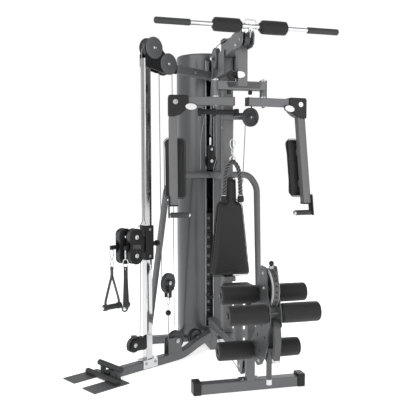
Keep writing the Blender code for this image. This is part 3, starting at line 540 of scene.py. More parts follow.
def build_shroud():
    """The shroud: a round wall with a slot, closed on top by a rounded shoulder and a shallow dome."""
    start, end = (math.asin(x / SHROUD_R) for x in SLOT_X)
    wall = np.linspace(end, start + 2 * math.pi, 121)
    gap = np.linspace(start, end, 7)[1:-1] + 2 * math.pi
    angle = np.r_[wall, gap]
    shoulder = np.linspace(0, math.pi / 2, 8)
    edge = 0.012
    radius = np.r_[SHROUD_R, SHROUD_R, SHROUD_R, SHROUD_R - edge + edge * np.cos(shoulder), 0.15, 0.10, 0.05, 0.0]
    height = np.r_[SHROUD_LOW, SLOT_Z[0], SLOT_Z[1], SHROUD_TOP - edge + edge * np.sin(shoulder) - 0.0005,
                   SHROUD_TOP - 0.0004, SHROUD_TOP - 0.0003, SHROUD_TOP - 0.0002, SHROUD_TOP]
    points = np.stack([radius[:, None] * np.sin(angle), -radius[:, None] * np.cos(angle),
                       np.broadcast_to(height[:, None], (len(height), len(angle)))], -1) * SCALE
    flat, faces = grid(points, False, True)
    columns = len(angle)
    open_from = 1 * columns + len(wall) - 1
    faces = [f for k, f in enumerate(faces) if not (open_from <= k < 2 * columns)]
    shell = piece("shroud_shell", [(flat, faces)], SHROUD, "frame", ["stack_shroud"], "shroud_paint")
    solid = shell.modifiers.new("wall", "SOLIDIFY")
    solid.thickness = SHROUD_WALL * SCALE
    solid.offset = -1
    corners = [(SLOT_X[0], SLOT_Z[0]), (SLOT_X[1], SLOT_Z[0]), (SLOT_X[1], SLOT_Z[1]), (SLOT_X[0], SLOT_Z[1])]
    line = soft_outline(corners, 0.008, 4) * SCALE
    length = np.linspace(0, 1, 5)[:, None]
    line = np.vstack([a + (b - a) * length[:-1] for a, b in zip(line, np.roll(line, -1, 0))])
    r = SHROUD_R * SCALE
    loop = np.stack([line[:, 0], -np.sqrt(r * r - line[:, 0] ** 2) + 0.001, line[:, 1]], -1)
    piece("slot_edge_trim", [tube(loop, 0.0024, Y, 8, True)], STEEL, "frame", slot="frame_paint")
    ring = turned(real(0, 0, SHROUD_LOW + 0.004), Z, [
        (r + 0.0005, -0.004), (r + 0.002, -0.002), (r + 0.002, 0.006), (r + 0.0005, 0.008), (r - 0.003, 0.008),
        (r - 0.003, -0.004)], 96, True)
    piece("shroud_foot_band", [ring], BLACK, "frame", slot="black_plastic")


def plate_shape(z0, z1):
    """One cast plate of the stack, with a rounded edge."""
    low = real(-0.085, -0.158, z0)
    high = real(0.085, 0.06, z1)
    return rounded_box(low, high, 0.003, 0.012)


def build_stack():
    gap = PLATE_GAP
    low_edges = [0.09 + k * PLATE_PITCH for k in range(4)] + [0.335]
    high_edges = [0.335 + k * PLATE_PITCH for k in range(9)] + [0.905]
    lower = [plate_shape(a + gap / 2, b - gap / 2) for a, b in zip(low_edges, low_edges[1:])]
    lower.append(rounded_box(real(-0.04, -0.09, SHROUD_LOW), real(0.04, 0.0, 0.1), 0.003))
    piece("lower_stack_plates", lower, CAST, "frame", ["weight_plates_lower"], "cast_plates")
    upper = [plate_shape(a + gap / 2, b - gap / 2) for a, b in zip(high_edges, high_edges[1:])]
    piece("upper_stack_plates", upper, CAST, "stack", ["weight_plates_lifted"], "cast_plates")
    rods = [tube([real(x, -0.05, 0.1), real(x, -0.05, 1.93)], 0.0088 * SCALE, X + 0.1, 20) for x in (-0.06, 0.06)]
    piece("guide_rods", rods, CHROME, "frame", slot="chrome")
    face = real(0, -0.158, 0)[1]
    for word, edges, body in (("lower", low_edges, "frame"), ("upper", high_edges, "stack")):
        holes, rims = [], []
        for a, b in zip(edges, edges[1:]):
            z = (a + b) / 2
            if word == "upper" and a < 0.34:
                z = 0.353
            centre = np.array([-0.013 * SCALE, face - 0.0002, z * SCALE])
            # Painted shade: each bore is a thin near black disc on the plate's face, standing in for the shade inside
            # the selector hole.
            holes.append(turned(centre, -Y, [(0.0, 0.0004), (0.0055, 0.0004), (0.0055, -0.0015), (0, -0.0015)], 20))
            rims.append(turned(centre, -Y, [(0.0056, -0.001), (0.0056, 0.0010), (0.0066, 0.0012), (0.0076, 0.0008),
                                            (0.0078, -0.001)], 24, True))
        piece(word + "_selector_bore_shade", holes, SHADOW, body, slot="cast_plates")
        piece(word + "_selector_marks", rims, STEEL, body, slot="chrome")
    pin = [turned(real(-0.013, -0.245, 0.353), Y, [
        (0.0, -0.0008), (0.009, -0.0005), (0.0135, 0.003), (0.0142, 0.009), (0.0142, 0.030), (0.0125, 0.038),
        (0.0075, 0.042), (0.0056, 0.044), (0.0054, 0.161), (0.0, 0.163)], 32)]
    piece("selector_pin_knob", pin, BLACK, "pin", ["selector_pin"], "black_plastic")
    stem = [tube([real(0.0, -0.05, 0.905), real(0.0, -0.05, 1.0)], 0.011, X + 0.1, 20),
            rounded_box(real(-0.03, -0.08, 0.906), real(0.03, -0.02, 0.925), 0.003)]
    piece("stack_top_fitting", stem, STEEL, "stack", slot="chrome")


# Pads.


def swell(obj, pressure, limit, voxel=0.0055):
    """Inflates a pad as cloth, with each point's move kept under a limit, and leaves plain mesh."""
    remesh = obj.modifiers.new("remesh", "REMESH")
    remesh.mode = "VOXEL"
    remesh.voxel_size = voxel
    graph = bpy.context.evaluated_depsgraph_get()
    mesh = bpy.data.meshes.new_from_object(obj.evaluated_get(graph))
    obj.modifiers.remove(remesh)
    old = obj.data
    material = old.materials[0]
    obj.data = mesh
    bpy.data.meshes.remove(old)
    if not mesh.materials:
        mesh.materials.append(material)
    count = len(mesh.vertices)
    rest = np.empty(count * 3, np.float32)
    mesh.vertices.foreach_get("co", rest)
    cloth = obj.modifiers.new("cloth", "CLOTH")
    cloth.settings.quality = 5
    cloth.settings.mass = 0.3
    cloth.settings.tension_stiffness = 14
    cloth.settings.compression_stiffness = 14
    cloth.settings.shear_stiffness = 6
    cloth.settings.bending_stiffness = 1.5
    cloth.settings.use_pressure = True
    cloth.settings.uniform_pressure_force = pressure
    cloth.settings.effector_weights.gravity = 0.0
    cloth.point_cache.frame_start = 1
    cloth.point_cache.frame_end = 20
    scene = bpy.context.scene
    for step in range(1, 21):
        scene.frame_set(step)
    graph = bpy.context.evaluated_depsgraph_get()
    moved_mesh = obj.evaluated_get(graph).to_mesh()
    moved = np.empty(count * 3, np.float32)
    moved_mesh.vertices.foreach_get("co", moved)
    obj.evaluated_get(graph).to_mesh_clear()
    obj.modifiers.remove(cloth)
    scene.frame_set(1)
    move = (moved - rest).reshape(-1, 3)
    far = np.linalg.norm(move, axis=1)[:, None]
    move *= np.minimum(1, limit / far.clip(1e-9))
    mesh.vertices.foreach_set("co", rest + move.ravel())
    mesh.update()
    mesh.polygons.foreach_set("use_smooth", np.ones(len(mesh.polygons), bool))
    smooth = obj.modifiers.new("even", "SMOOTH")
    smooth.factor = 0.5
    smooth.iterations = 6
    finer = obj.modifiers.new("finer", "SUBSURF")
    finer.levels = 1
    finer.render_levels = 1
    return obj


def pad(name, outline, origin, u, v, thickness, node_name, body, edge, backing, fit=list):
    """A padded board: a swollen vinyl cover over a flat backing board, its shapes put in place by fit."""
    core = slab(inset(outline, 0.006), origin, u, v, thickness - 0.008, edge, rings=5)
    cover = piece(name, fit([core]), VINYL, body, [node_name], "vinyl", 60)
    swell(cover, 4.0, 0.007)
    w = np.cross(unit(u), unit(v))
    board = slab(inset(outline, 0.010), np.asarray(origin) + w * backing, u, v, 0.008, 0.002)
    piece(name + "_board", fit([board]), BLACK, body, slot="black_plastic")
    seam = inset(outline, 0.0045)
    loop = np.asarray(origin) + w * backing * 0.62 + seam[:, :1] * unit(u) + seam[:, 1:] * unit(v)
    piece(name + "_piping", fit([tube(loop, 0.0022, w, 8, True)]), VINYL, body, slot="vinyl")
    return cover


def build_pads():
    back = [
        (-0.127, 0.577), (-0.109, 0.557), (0.111, 0.557), (0.129, 0.577), (0.084, 0.985), (0.07, 1.01),
        (0.044, 1.02), (0.04, 1.14), (0.03, 1.155), (-0.03, 1.155), (-0.04, 1.14), (-0.044, 1.02),
        (-0.07, 1.01), (-0.084, 0.985),
    ]
    outline = soft_outline(np.array(back) * SCALE, [0.01, 0.01, 0.01, 0.01, 0.014, 0.012, 0.012, 0.008, 0.006, 0.006,
                                                    0.008, 0.012, 0.012, 0.014], 5)
    pad("backrest_cushion", outline, real(0, -0.628, 0), X, Z, 0.05 * SCALE, "backrest_pad", "frame", 0.017, -0.0215)
    seat = [(-0.09, -0.72), (-0.14, -1.03), (-0.12, -1.06), (0.12, -1.06), (0.14, -1.03), (0.09, -0.72)]
    outline = soft_outline(np.array(seat) * SCALE, 0.014, 5)
    pad("seat_cushion", outline, real(0, 0, 0.5225), X, Y, 0.045 * SCALE, "seat_pad", "frame", 0.015, -0.019)
    arm = [(-0.064, 1.06), (-0.045, 1.039), (0.045, 1.039), (0.064, 1.06), (0.064, 1.362), (0.045, 1.382),
           (-0.045, 1.382), (-0.064, 1.362)]
    outline = soft_outline(np.array(arm) * SCALE, 0.011, 5)
    for word, side in SIDES:
        pad(f"arm_cushion_{word}", outline, real(side * 0.366, -0.752, 0), X, Z, 0.05 * SCALE, "arm_pad_" + word,
            word + "_arm", 0.019, 0.0215, lambda shapes, side=side: leaned(shapes, side))


# Rolls and bars.


def roll(name, node_name, far, near, place, radius, bore, body, fit=list):
    """A foam roll on an axle along X: a straight body with soft shoulders and flat ends round its bore."""
    half = (abs(far) - abs(near)) / 2 * SCALE
    centre = real((far + near) / 2, *place)
    radius *= SCALE
    t = np.linspace(0, math.pi / 2, 7)
    soft = 0.010
    shoulder = [(radius - soft + soft * math.sin(a), half - soft + soft * math.cos(a)) for a in t]
    waist = [(radius + 0.0005, half * 0.5), (radius + 0.0008, 0.0), (radius + 0.0005, -half * 0.5)]
    inner = bore * SCALE + 0.001
    profile = [(inner, half - 0.0015), (radius * 0.55, half), *shoulder, *waist,
               *[(r, -h) for r, h in reversed(shoulder)], (radius * 0.55, -half), (inner, 0.0015 - half)]
    made = piece(name, fit([turned(centre, X, profile, 56, True)]), FOAM, body, [node_name], "foam", 60)
    return made


def end_button(x, y, z, side, radius=0.02):
    """A round cap on an axle's end."""
    centre = real(x, y, z)
    profile = [(0.0, 0.0045), (radius * 0.45, 0.0042), (radius * 0.85, 0.002), (radius, -0.0005), (radius, -0.002),
               (0.0, -0.002)]
    return turned(centre, X * side, profile, 32)


def build_rolls():
    sets = (
        ("thigh", "frame", LEG_PIVOT, 0.225, 0.0465),
        ("curl", "leg_arm", CURL_AXLE, 0.232, 0.0485),
        ("ankle", "leg_arm", ANKLE_AXLE, 0.222, 0.048),
    )
    for name, body, place, far, radius in sets:
        buttons, sleeves = [], []
        for word, side in SIDES:
            roll(f"{name}_roll_{word}", f"{name}_roller_{word}", side * far, side * 0.0385, place, radius, 0.009,
                 body)
            buttons.append(end_button(side * (far + 0.001), *place, side, 0.017))
            x0, x1 = sorted((side * 0.0315, side * 0.0384))
            sleeves.append(tube([real(x0, *place), real(x1, *place)], 0.018, Y, 24))
        piece(name + "_roll_ends", buttons, FOAM, body, slot="foam")
        piece(name + "_roll_collars", sleeves, CHROME, body, slot="chrome")


def build_leg_station():
    dress("leg_lever", LEVER)
    dress("adjuster_disc", LEVER)
    centre = real(0, *DISC)
    turn = np.radians(np.linspace(-4, 312, 90))
    path = np.stack([0 * turn, np.cos(turn), np.sin(turn)], -1) * 0.0868 * SCALE
    section = oval(0.0008, 0.0108 * SCALE, 16, 6)
    rings = [sweep(centre + X * side * 0.0151 * SCALE + path, section, X) for side in (-1, 1)]
    piece("adjuster_rings", rings, SILVER, "leg_arm", slot="chrome")
    # Painted shade: near black discs in the rim holes of the adjuster disc, standing in for the shade inside them.
    bores = []
    for t in np.radians(np.arange(70, 270, 16)):
        out = np.array([0, math.cos(t), math.sin(t)])
        profile = [(0.0, 0.0), (0.0058, -0.0002), (0.0058, -0.003), (0.0, -0.003)]
        bores.append(turned(centre + out * DISC_R * SCALE, out, profile, 18))
    piece("adjuster_bore_shade", bores, SHADOW, "leg_arm", slot="black_plastic")
    bolts = []
    for side in (-1, 1):
        for y, z in (LEG_PIVOT, DISC, (-1.262, 0.246), (-1.318, 0.70)):
            bolts.append(bolt(real(side * 0.0316, y, z), X * side, 0.0085, 0.006))
    piece("lever_bolts", bolts, STEEL, "leg_arm", slot="chrome")
    axis = unit([0, -0.153, 0.988])
    grip = [(0.0, 0.0570), (0.0045, 0.0562), (0.009, 0.0530), (0.0122, 0.0475), (0.0125, 0.0440), (0.0118, 0.0390),
            (0.009, 0.0345), (0.0062, 0.0325), (0.0062, 0.0), (0.0, 0.0)]
    handle = turned(centre + axis * 0.082 * SCALE, axis, [(r * SCALE, h * SCALE) for r, h in grip], 32)
    piece("adjuster_pull_knob", [handle], BLACK, "disc_plunger", ["disc_knob"], "black_plastic")
    profile = [(0.0072 * SCALE, 0.006), (0.012, 0.006), (0.0125, 0.001), (0.0125, -0.008), (0.0072 * SCALE, -0.008)]
    nut = turned(centre + axis * 0.107 * SCALE, axis, profile, 6, True)
    piece("adjuster_collar", [nut], STEEL, "leg_arm", slot="chrome")
    shoe = sweep([real(0, -1.4235, 0.296), real(0, -1.4211, 0.282)], oval(0.0168, 0.0168, 32, 6), X)
    foot = tube([real(0, -1.326, 0.1395), real(0, -1.326, 0.166)], 0.0153, X, 28)
    piece("lever_chrome_feet", [foot, shoe], CHROME, "leg_arm", slot="chrome")


def build_press():
    dress("press_lever", PAINT)
    mould = turned(real(-0.057, -0.66, 1.721), -Y, [
        (0.0, 0.0), (0.024, 0.0), (0.0285, 0.004), (0.0292, 0.02), (0.0292, 0.185), (0.027, 0.2), (0.024, 0.2095),
        (0.0, 0.2105)], 40)
    foot = rounded_box(real(-0.076, -0.861, 1.6893), real(-0.037, -0.809, 1.722), 0.004)
    nose_path = np.linspace(real(-0.057, -0.815, 1.721), real(-0.020, -0.868, 1.723), 9)
    size = np.linspace(0.024, 0.0305, 9)
    nose = sweep(nose_path, np.stack([circle(r, 32)[0] * [1.0, 0.72] for r in size]), X)
    piece("press_bumper_moulding", [mould, foot, nose], BLACK, "press_arm", ["press_bumper"], "black_plastic")
    plates = [slab(oval(0.0325, 0.0195, 48), real(-0.018, -0.8725, 1.723), X, Z, 0.004, 0.0018)]
    piece("press_bumper_badge", plates, SILVER, "press_arm", slot="chrome")
    strip = soft_outline([(-0.104, 0.015), (-0.094, -0.015), (0.094, -0.015), (0.104, 0.015)], 0.004)
    piece("crossbeam_plain_plate", [slab(strip, real(0.010, -0.8665, 1.667), X, Z, 0.003, 0.001)], LABEL, "press_arm",
          slot="black_plastic")
    bolts = []
    for side in (-1, 1):
        bolts.append(bolt(real(side * 0.138, ARM_Y, 1.7002), Z, 0.011, 0.007))
        bolts.append(bolt(real(side * 0.0285, -0.85, 1.67), X * side, 0.006))
    piece("crossbeam_bolts", bolts, STEEL, "press_arm", slot="chrome")
    rings = []
    for side in (-1, 1):
        for z0, z1 in ((1.6035, 1.6095), (1.694, 1.7005)):
            rings.append(tube([real(side * 0.138, ARM_Y, z0), real(side * 0.138, ARM_Y, z1)], 0.0228, X, 32))
    piece("pivot_bushes", rings, STEEL, "press_arm", slot="chrome")
    stops = []
    for side in (-1, 1):
        stops.append(turned(real(side * 0.062, ARM_Y + 0.004, 1.6405), -Z,
                            [(0.0, -0.001), (0.012, -0.001), (0.0125, 0.012), (0.010, 0.020), (0.0, 0.0215)], 24))
    piece("crossbeam_buffers", stops, BLACK, "press_arm", slot="black_plastic")
    bosses = [bolt(real(side * 0.0365, -0.85, 1.885), X * side, 0.012, 0.008) for side in (-1, 1)]
    bosses += [bolt(real(side * 0.0365, -0.925, 1.905), X * side, 0.009, 0.006) for side in (-1, 1)]
    piece("boom_bolts", bosses, STEEL, "frame", slot="chrome")


def leaned(shapes, side):
    """The upright's lower end brought forward, then the arm opened back: point = pin + turn (point - pin - lean Y)."""
    angle = math.radians(side * ARM_OPEN)
    pin = real(side * ARM_PIVOT_X, ARM_Y, 0)
    turn = np.array([[math.cos(angle), math.sin(angle), 0], [-math.sin(angle), math.cos(angle), 0], [0, 0, 1]])
    made = []
    for points, faces in shapes:
        low = np.maximum(0.0, ARM_LEAN_FROM * SCALE - points[:, 2:])
        made.append((pin + (points - pin - ARM_LEAN * low * Y) @ turn, faces))
    return made


def build_arms():
    for word, side in SIDES:
        body = word + "_arm"
        dress("arm_" + word, PAINT)

        def fit(name, shapes, material, slot, replaces=(), sharp=38):
            piece(f"{name}_{word}", leaned(shapes, side), material, body, replaces, slot, sharp)

        corner = [(0.4045, 1.494), (0.4045, 1.611), (0.292, 1.611), (0.292, 1.556), (0.306, 1.530), (0.336, 1.506),
                  (0.372, 1.494)]
        outline = soft_outline(np.array([(side * x, z) for x, z in corner]) * SCALE,
                               [0.010, 0.016, 0.012, 0.010, 0.010, 0.010, 0.010], 6)
        cover = slab(outline, real(0, ARM_Y, 0), X, Z, 0.0635 * SCALE, 0.005)
        fit("shoulder_cover", [cover], BLACK, "black_plastic", ["arm_cover_" + word], 50)
        badge_x = -0.279 if side < 0 else 0.2885
        lean = unit([1, 0, -0.17 if side > 0 else -0.04])
        rise = np.cross(lean, Y) * -1
        place = real(badge_x, 0, 1.5465)
        badge = [slab(oval(0.0325, 0.0185, 48), place + Y * -0.8535 * SCALE, lean, rise, 0.004, 0.0018)]
        fit("shoulder_badge", badge, SILVER, "chrome")
        back = [slab(oval(0.0345, 0.0205, 48), place + Y * -0.8465 * SCALE, lean, rise, 0.012, 0.002)]
        fit("shoulder_badge_seat", back, BLACK, "black_plastic")
        bolts = [bolt(real(side * 0.364, -0.8472, 1.573), -Y, 0.0105, 0.006),
                 bolt(real(side * 0.364, -0.7828, 1.573), Y, 0.0105, 0.006)]
        bolts.append(bolt(real(side * 0.4095, -0.825, 1.04), X * side, 0.006))
        bolts.append(bolt(real(side * ARM_PIVOT_X, ARM_Y, 1.557), -Z, 0.009, 0.006))
        fit("arm_bolts", bolts, CHROME, "chrome")
        cap_low = sorted((side * 0.0345, side * 0.040))
        caps = [rounded_box(real(cap_low[0], ARM_Y - 0.0235, ARM_Z - 0.024),
                            real(cap_low[1], ARM_Y + 0.0235, ARM_Z + 0.024), 0.0015)]
        foot = sorted((side * (UPRIGHT_X - 0.024), side * (UPRIGHT_X + 0.0232)))
        caps.append(rounded_box(real(foot[0], ARM_Y - 0.0235, 1.004), real(foot[1], ARM_Y + 0.0235, 1.013), 0.002))
        fit("arm_end_caps", caps, BLACK, "black_plastic")
        plate = soft_outline([(-0.848, 0.94), (-0.802, 0.945), (-0.802, 1.06), (-0.848, 1.06)], 0.008, 5) * SCALE
        bracket = slab(plate, real(side * 0.4052, 0, 0), Y, Z, 0.0077 * SCALE, 0.0015)
        fit("handle_bracket", [bracket], BLACK, "black_plastic", ["arm_handle_" + word])
        y, z = -0.828, 0.957
        ends = np.array([0.398, 0.392, 0.388, 0.304, 0.300, 0.2965])
        size = np.array([0.0115, 0.0155, 0.0146, 0.0146, 0.0158, 0.012])
        path = np.stack([side * ends, np.full(6, y), np.full(6, z)], -1) * SCALE
        fit("handle_grip", [tube(path, size * SCALE, Z, 32)], RUBBER, "foam")
        tip = turned(real(side * 0.2965, y, z), -X * side, [
            (0.0, 0.0105), (0.006, 0.0102), (0.0115, 0.008), (0.0138, 0.003), (0.0138, -0.002), (0.0, -0.002)], 32)
        root = tube([real(side * 0.4015, y, z), real(side * 0.396, y, z)], 0.0105, Z, 24)
        fit("handle_tips", [tip, root], CHROME, "chrome")
    hook = fillet([real(0.06, -0.842, 1.565), real(0.06, -0.842, 1.535), real(0.078, -0.842, 1.528)], 0.012, 6)
    piece("arm_hook_right", [tube(hook, 0.004, Y, 12)], BLACK, "right_arm", slot="black_plastic")


def build_lat_bar():
    y, z = LAT_BAR
    angle = math.radians(LAT_BAR_TURN)
    turn = np.array([[math.cos(angle), math.sin(angle), 0], [-math.sin(angle), math.cos(angle), 0], [0, 0, 1]])

    def fit(shapes):
        """The bar's shapes turned a little about the hook's upright line."""
        return [(real(0, y, 0) + (points - real(0, y, 0)) @ turn, faces) for points, faces in shapes]

    bar = tube([real(-0.505, y, z), real(0.505, y, z)], 0.0118 * SCALE, Z, 32)
    hanger = fillet([real(-0.034, y, z + 0.001), real(-0.034, y, z + 0.034), real(0.034, y, z + 0.034),
                     real(0.034, y, z + 0.001)], 0.018, 8)
    collars = [tube([real(s * 0.028, y, z), real(s * 0.040, y, z)], 0.0155, Z, 28) for s in (-1, 1)]
    eye = rounded_box(real(-0.010, y - 0.0065, z - 0.0315), real(0.010, y + 0.0065, z + 0.018), 0.002)
    ring = oval(0.013, 0.021, 36) * SCALE
    loop = real(0.0, y, z - 0.036) + ring[:, :1] * unit([0.3, 1, 0]) + ring[:, 1:] * Z
    piece("lat_bar_chrome", fit([bar, tube(hanger, 0.0042, Y, 14), *collars, eye]), CHROME, "pull_bar", ["lat_bar"],
          "chrome")
    piece("lat_bar_link", fit([tube(loop, 0.0032, X, 12, True)]), STEEL, "pull_bar", slot="chrome")
    grips, flanges = [], []
    for side in (-1, 1):
        x = np.array([0.330, 0.334, 0.338, 0.420, 0.505, 0.514, 0.519])
        r = np.array([0.0135, 0.0172, 0.0168, 0.0166, 0.0168, 0.0160, 0.010])
        path = np.stack([side * x, np.full(7, y), np.full(7, z)], -1) * SCALE
        grips.append(tube(path, r * SCALE, Z, 32))
        for at in (0.0535, 0.2075):
            flanges.append(tube([real(side * (at - 0.0025), y, z), real(side * (at + 0.0025), y, z)], 0.0235, Z, 32))
    piece("lat_bar_grips", fit(grips), RUBBER, "pull_bar", slot="foam")
    piece("lat_roll_flanges", fit(flanges), BLACK, "pull_bar", slot="black_plastic")
    for word, side in SIDES:
        roll("lat_roll_" + word, "lat_foam_" + word, side * 0.205, side * 0.06, (y, z), 0.036, 0.0125, "pull_bar",
             fit)


# Pulleys.


def wheel_of(name, node_name, axis, body, finish=None):
    """A grooved wheel in place of a CAD one, its centre and size from the CAD box."""
    low, high = (np.array(c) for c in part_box(node_name))
    centre = (low + high) / 2
    radius = (high[2] - low[2]) / 2
    width = {"front_low_pulley": 0.022, "side_pulley": 0.024}.get(node_name, 0.03) * SCALE
    return piece(name, [sheave(centre, axis, radius, width)], finish or WHEEL, body, [node_name], "pulley_plastic", 45)


def build_pulleys():
    side_axis = unit([0.338, -0.941, 0])
    wheel_of("front_low_wheel", "front_low_pulley", X, "front_low_wheel")
    wheel_of("side_wheel", "side_pulley", side_axis, "side_wheel")
    wheel_of("lat_wheel", "lat_pulley", X, "lat_wheel")
    wheel_of("tower_top_wheel", "tower_top_pulley", ACROSS, "top_wheel")
    wheel_of("tower_second_wheel", "tower_second_pulley", ACROSS, "second_wheel")
    wheel_of("tower_floor_wheel", "floor_pulley", ACROSS, "floor_wheel")
    bolts = []
    for a, z in ((0.042, 1.9115), (0.154, 1.829)):
        bolts += [bolt(tower(a, -0.0335, z), -ACROSS, 0.011, 0.008), bolt(tower(a, 0.0335, z), ACROSS, 0.011, 0.008)]
    bolts += [bolt(tower(0.222, -0.0265, 0.125), -ACROSS, 0.010, 0.007),
              bolt(tower(0.222, 0.0265, 0.125), ACROSS, 0.010, 0.007)]
    centre = real(0.11973, -0.641, 1.508)
    bolts += [bolt(centre + side_axis * 0.0145, side_axis, 0.009, 0.007), bolt(real(-0.021, -0.896, 0.1), -X, 0.008),
              bolt(real(0.0245, -0.896, 0.1), X, 0.008), bolt(real(-0.064, -0.42, 1.875), -X, 0.011, 0.007)]
    bolts += [bolt(tower(0.43, 0.0625, 0.098), ACROSS, 0.009), bolt(tower(0.43, 0.0095, 0.098), -ACROSS, 0.009)]
    piece("pulley_bolts", bolts, CHROME, "frame", slot="chrome")
    crown = sheave(real(-0.0325, -0.42, 1.875), X, 0.0672 * SCALE, 0.0285 * SCALE, 0.055)
    piece("crown_wheel", [crown], WHEEL, "frame", slot="pulley_plastic", sharp=45)
    base = sheave(tower(0.43, 0.042, 0.098), ACROSS, 0.054 * SCALE, 0.028 * SCALE, 0.055)
    piece("base_wheel", [base], BLACK, "frame", slot="pulley_plastic", sharp=45)
    caps = []
    for a, z in ((0.042, 1.9115), (0.154, 1.829)):
        for side in (-1, 1):
            profile = [(0.0, 0.004), (0.030 * SCALE, 0.004), (0.058 * SCALE, 0.003), (0.0635 * SCALE, 0.0),
                       (0.0635 * SCALE, -0.002), (0.0, -0.002)]
            caps.append(turned(tower(a, side * 0.0315, z), ACROSS * side, profile, 64))
    piece("tower_wheel_covers", caps, COVER, "frame", slot="pulley_plastic")
    low = [tower(0, n, 0) for n in (-0.017, 0.017)]
    outline = soft_outline([(-0.145, 0.130), (-0.024, 0.122), (-0.024, 0.200), (-0.125, 0.196)], 0.014) * SCALE
    ears = [slab(outline, origin, ALONG, Z, 0.006, 0.0015) for origin in low]
    block = slab(soft_outline([(-0.05, 0.127), (-0.0232, 0.127), (-0.0232, 0.195), (-0.05, 0.195)], 0.004) * SCALE,
                 tower(0, 0, 0), ALONG, Z, 0.04 * SCALE, 0.002)
    piece("low_bracket_plates", [*ears, block], BLACK, "frame", ["low_bracket"], "black_plastic")
    piece("low_bracket_wheel", [sheave(tower(-0.106, 0, 0.162), ACROSS, 0.045 * SCALE, 0.026 * SCALE)], WHEEL, "frame",
          slot="pulley_plastic", sharp=45)
    piece("low_bracket_bolts", [bolt(tower(-0.106, s * 0.0205, 0.162), ACROSS * s, 0.009) for s in (-1, 1)], CHROME,
          "frame", slot="chrome")
    middle = real(-0.338, -0.42, 0.497)
    tilt = unit([0.75, 0.66, 0])
    face = np.cross(Z, tilt)
    straps = [slab(soft_outline([(-0.015, -0.092), (0.015, -0.092), (0.019, 0.022), (-0.019, 0.022)], 0.006) * SCALE,
                   middle + face * s * 0.0158 * SCALE, tilt, Z, 0.004, 0.001) for s in (-1, 1)]
    hook_loop = oval(0.011, 0.024, 32) * SCALE
    loop = middle - Z * 0.113 * SCALE + hook_loop[:, :1] * face + hook_loop[:, 1:] * Z
    hanging = tube([middle - Z * 0.135 * SCALE, middle - Z * 0.172 * SCALE], 0.0035, X, 12)
    piece("floating_wheel", [sheave(middle, face, 0.0625 * SCALE, 0.025 * SCALE)], WHEEL, "floater",
          ["floating_pulley"], "pulley_plastic", 45)
    piece("floating_wheel_straps", straps, BLACK, "floater", slot="black_plastic")
    piece("floating_wheel_hook", [tube(loop, 0.0034, tilt, 12, True), hanging,
                                  *[bolt(middle + face * s * 0.0185 * SCALE, face * s, 0.009) for s in (-1, 1)]],
          CHROME, "floater", slot="chrome")
    ball = turned(middle - Z * 0.188 * SCALE, Z, [(0.018 * SCALE * math.sin(t), 0.018 * SCALE * math.cos(t))
                                                 for t in np.linspace(0, math.pi, 17)], 32)
    piece("floating_stop_ball", [ball], BLACK, "floater", slot="black_plastic")


# Side carriage and what hangs from it.


def build_carriage():
    dress("carriage", BLACK)
    knob = [(0.0, 0.0680), (0.010, 0.0675), (0.0165, 0.0640), (0.0186, 0.0580), (0.0186, 0.0480), (0.0165, 0.0435),
            (0.010, 0.0410), (0.0062, 0.0395), (0.0062, 0.0), (0.0, 0.0)]
    shape = turned(tower(0.024, 0, HEAD_Z), ALONG, [(r * SCALE, h * SCALE) for r, h in knob], 36)
    piece("carriage_pull_knob", [shape], BLACK, "slider_plunger", ["carriage_knob"], "black_plastic")
    bolts = []
    for z in (0.685, 0.845):
        bolts.append(bolt(tower(0, -0.0315, z), -ACROSS, 0.0065))
        bolts.append(bolt(tower(0.0315, 0, z), ALONG, 0.0065))
    piece("carriage_bolts", bolts, STEEL, "slider", slot="chrome")
    profile = [(0.0066 * SCALE, 0.008), (0.0145, 0.008), (0.015, 0.0), (0.015, -0.003), (0.0066 * SCALE, -0.003)]
    nut = turned(tower(0.048, 0, HEAD_Z), ALONG, profile, 6, True)
    piece("carriage_collar", [nut], STEEL, "slider", slot="chrome")
    for word, n, a in (("front", -0.026, -0.112), ("back", 0.03, -0.148)):
        body = word + "_head"
        t = np.linspace(0, 2 * math.pi, 64, endpoint=False)
        u = 0.050 * np.cos(t) - 0.0065 * np.cos(t) * np.cos(t) ** 8
        v = 0.055 * np.sign(np.sin(t)) * np.minimum(1, abs(np.sin(t)) * 6) + 0.050 * np.sin(t)
        outline = np.stack([a + u, HEAD_Z + v], -1) * SCALE
        plates = [slab(outline, tower(0, n + s * 0.0185, 0), ALONG, Z, 0.0065 * SCALE, 0.0018) for s in (-1, 1)]
        arm_end = -0.178 if word == "front" else -0.235
        outline = soft_outline([(a - 0.04, HEAD_Z - 0.012), (a - 0.04, HEAD_Z + 0.012),
                                (arm_end - 0.010, HEAD_Z + 0.010), (arm_end - 0.010, HEAD_Z - 0.014)], 0.005)
        lug = slab(outline * SCALE, tower(0, n, 0), ALONG, Z, 0.016, 0.003)
        piece(f"swivel_plates_{word}", [*plates, lug], BLACK, body, ["pulley_head_" + word], "black_plastic", 45)
        wheels = [sheave(tower(a, n, HEAD_Z + s * 0.055), ACROSS, 0.047 * SCALE, 0.029 * SCALE) for s in (-1, 1)]
        piece(f"swivel_wheels_{word}", wheels, WHEEL, body, slot="pulley_plastic", sharp=45)
        bolts = [bolt(tower(a, n + f * 0.0225, HEAD_Z + s * 0.055), ACROSS * f, 0.010, 0.007)
                 for s in (-1, 1) for f in (-1, 1)]
        piece(f"swivel_bolts_{word}", bolts, CHROME, body, slot="chrome")
        label = soft_outline([(-0.03, -0.017), (0.03, -0.017), (0.03, 0.017), (-0.03, 0.017)], 0.007) * SCALE
        sign = [slab(label, tower(a, n - 0.0225, HEAD_Z), ALONG, Z, 0.003, 0.001)]
        piece(f"swivel_label_{word}", sign, LABEL, body, slot="black_plastic")


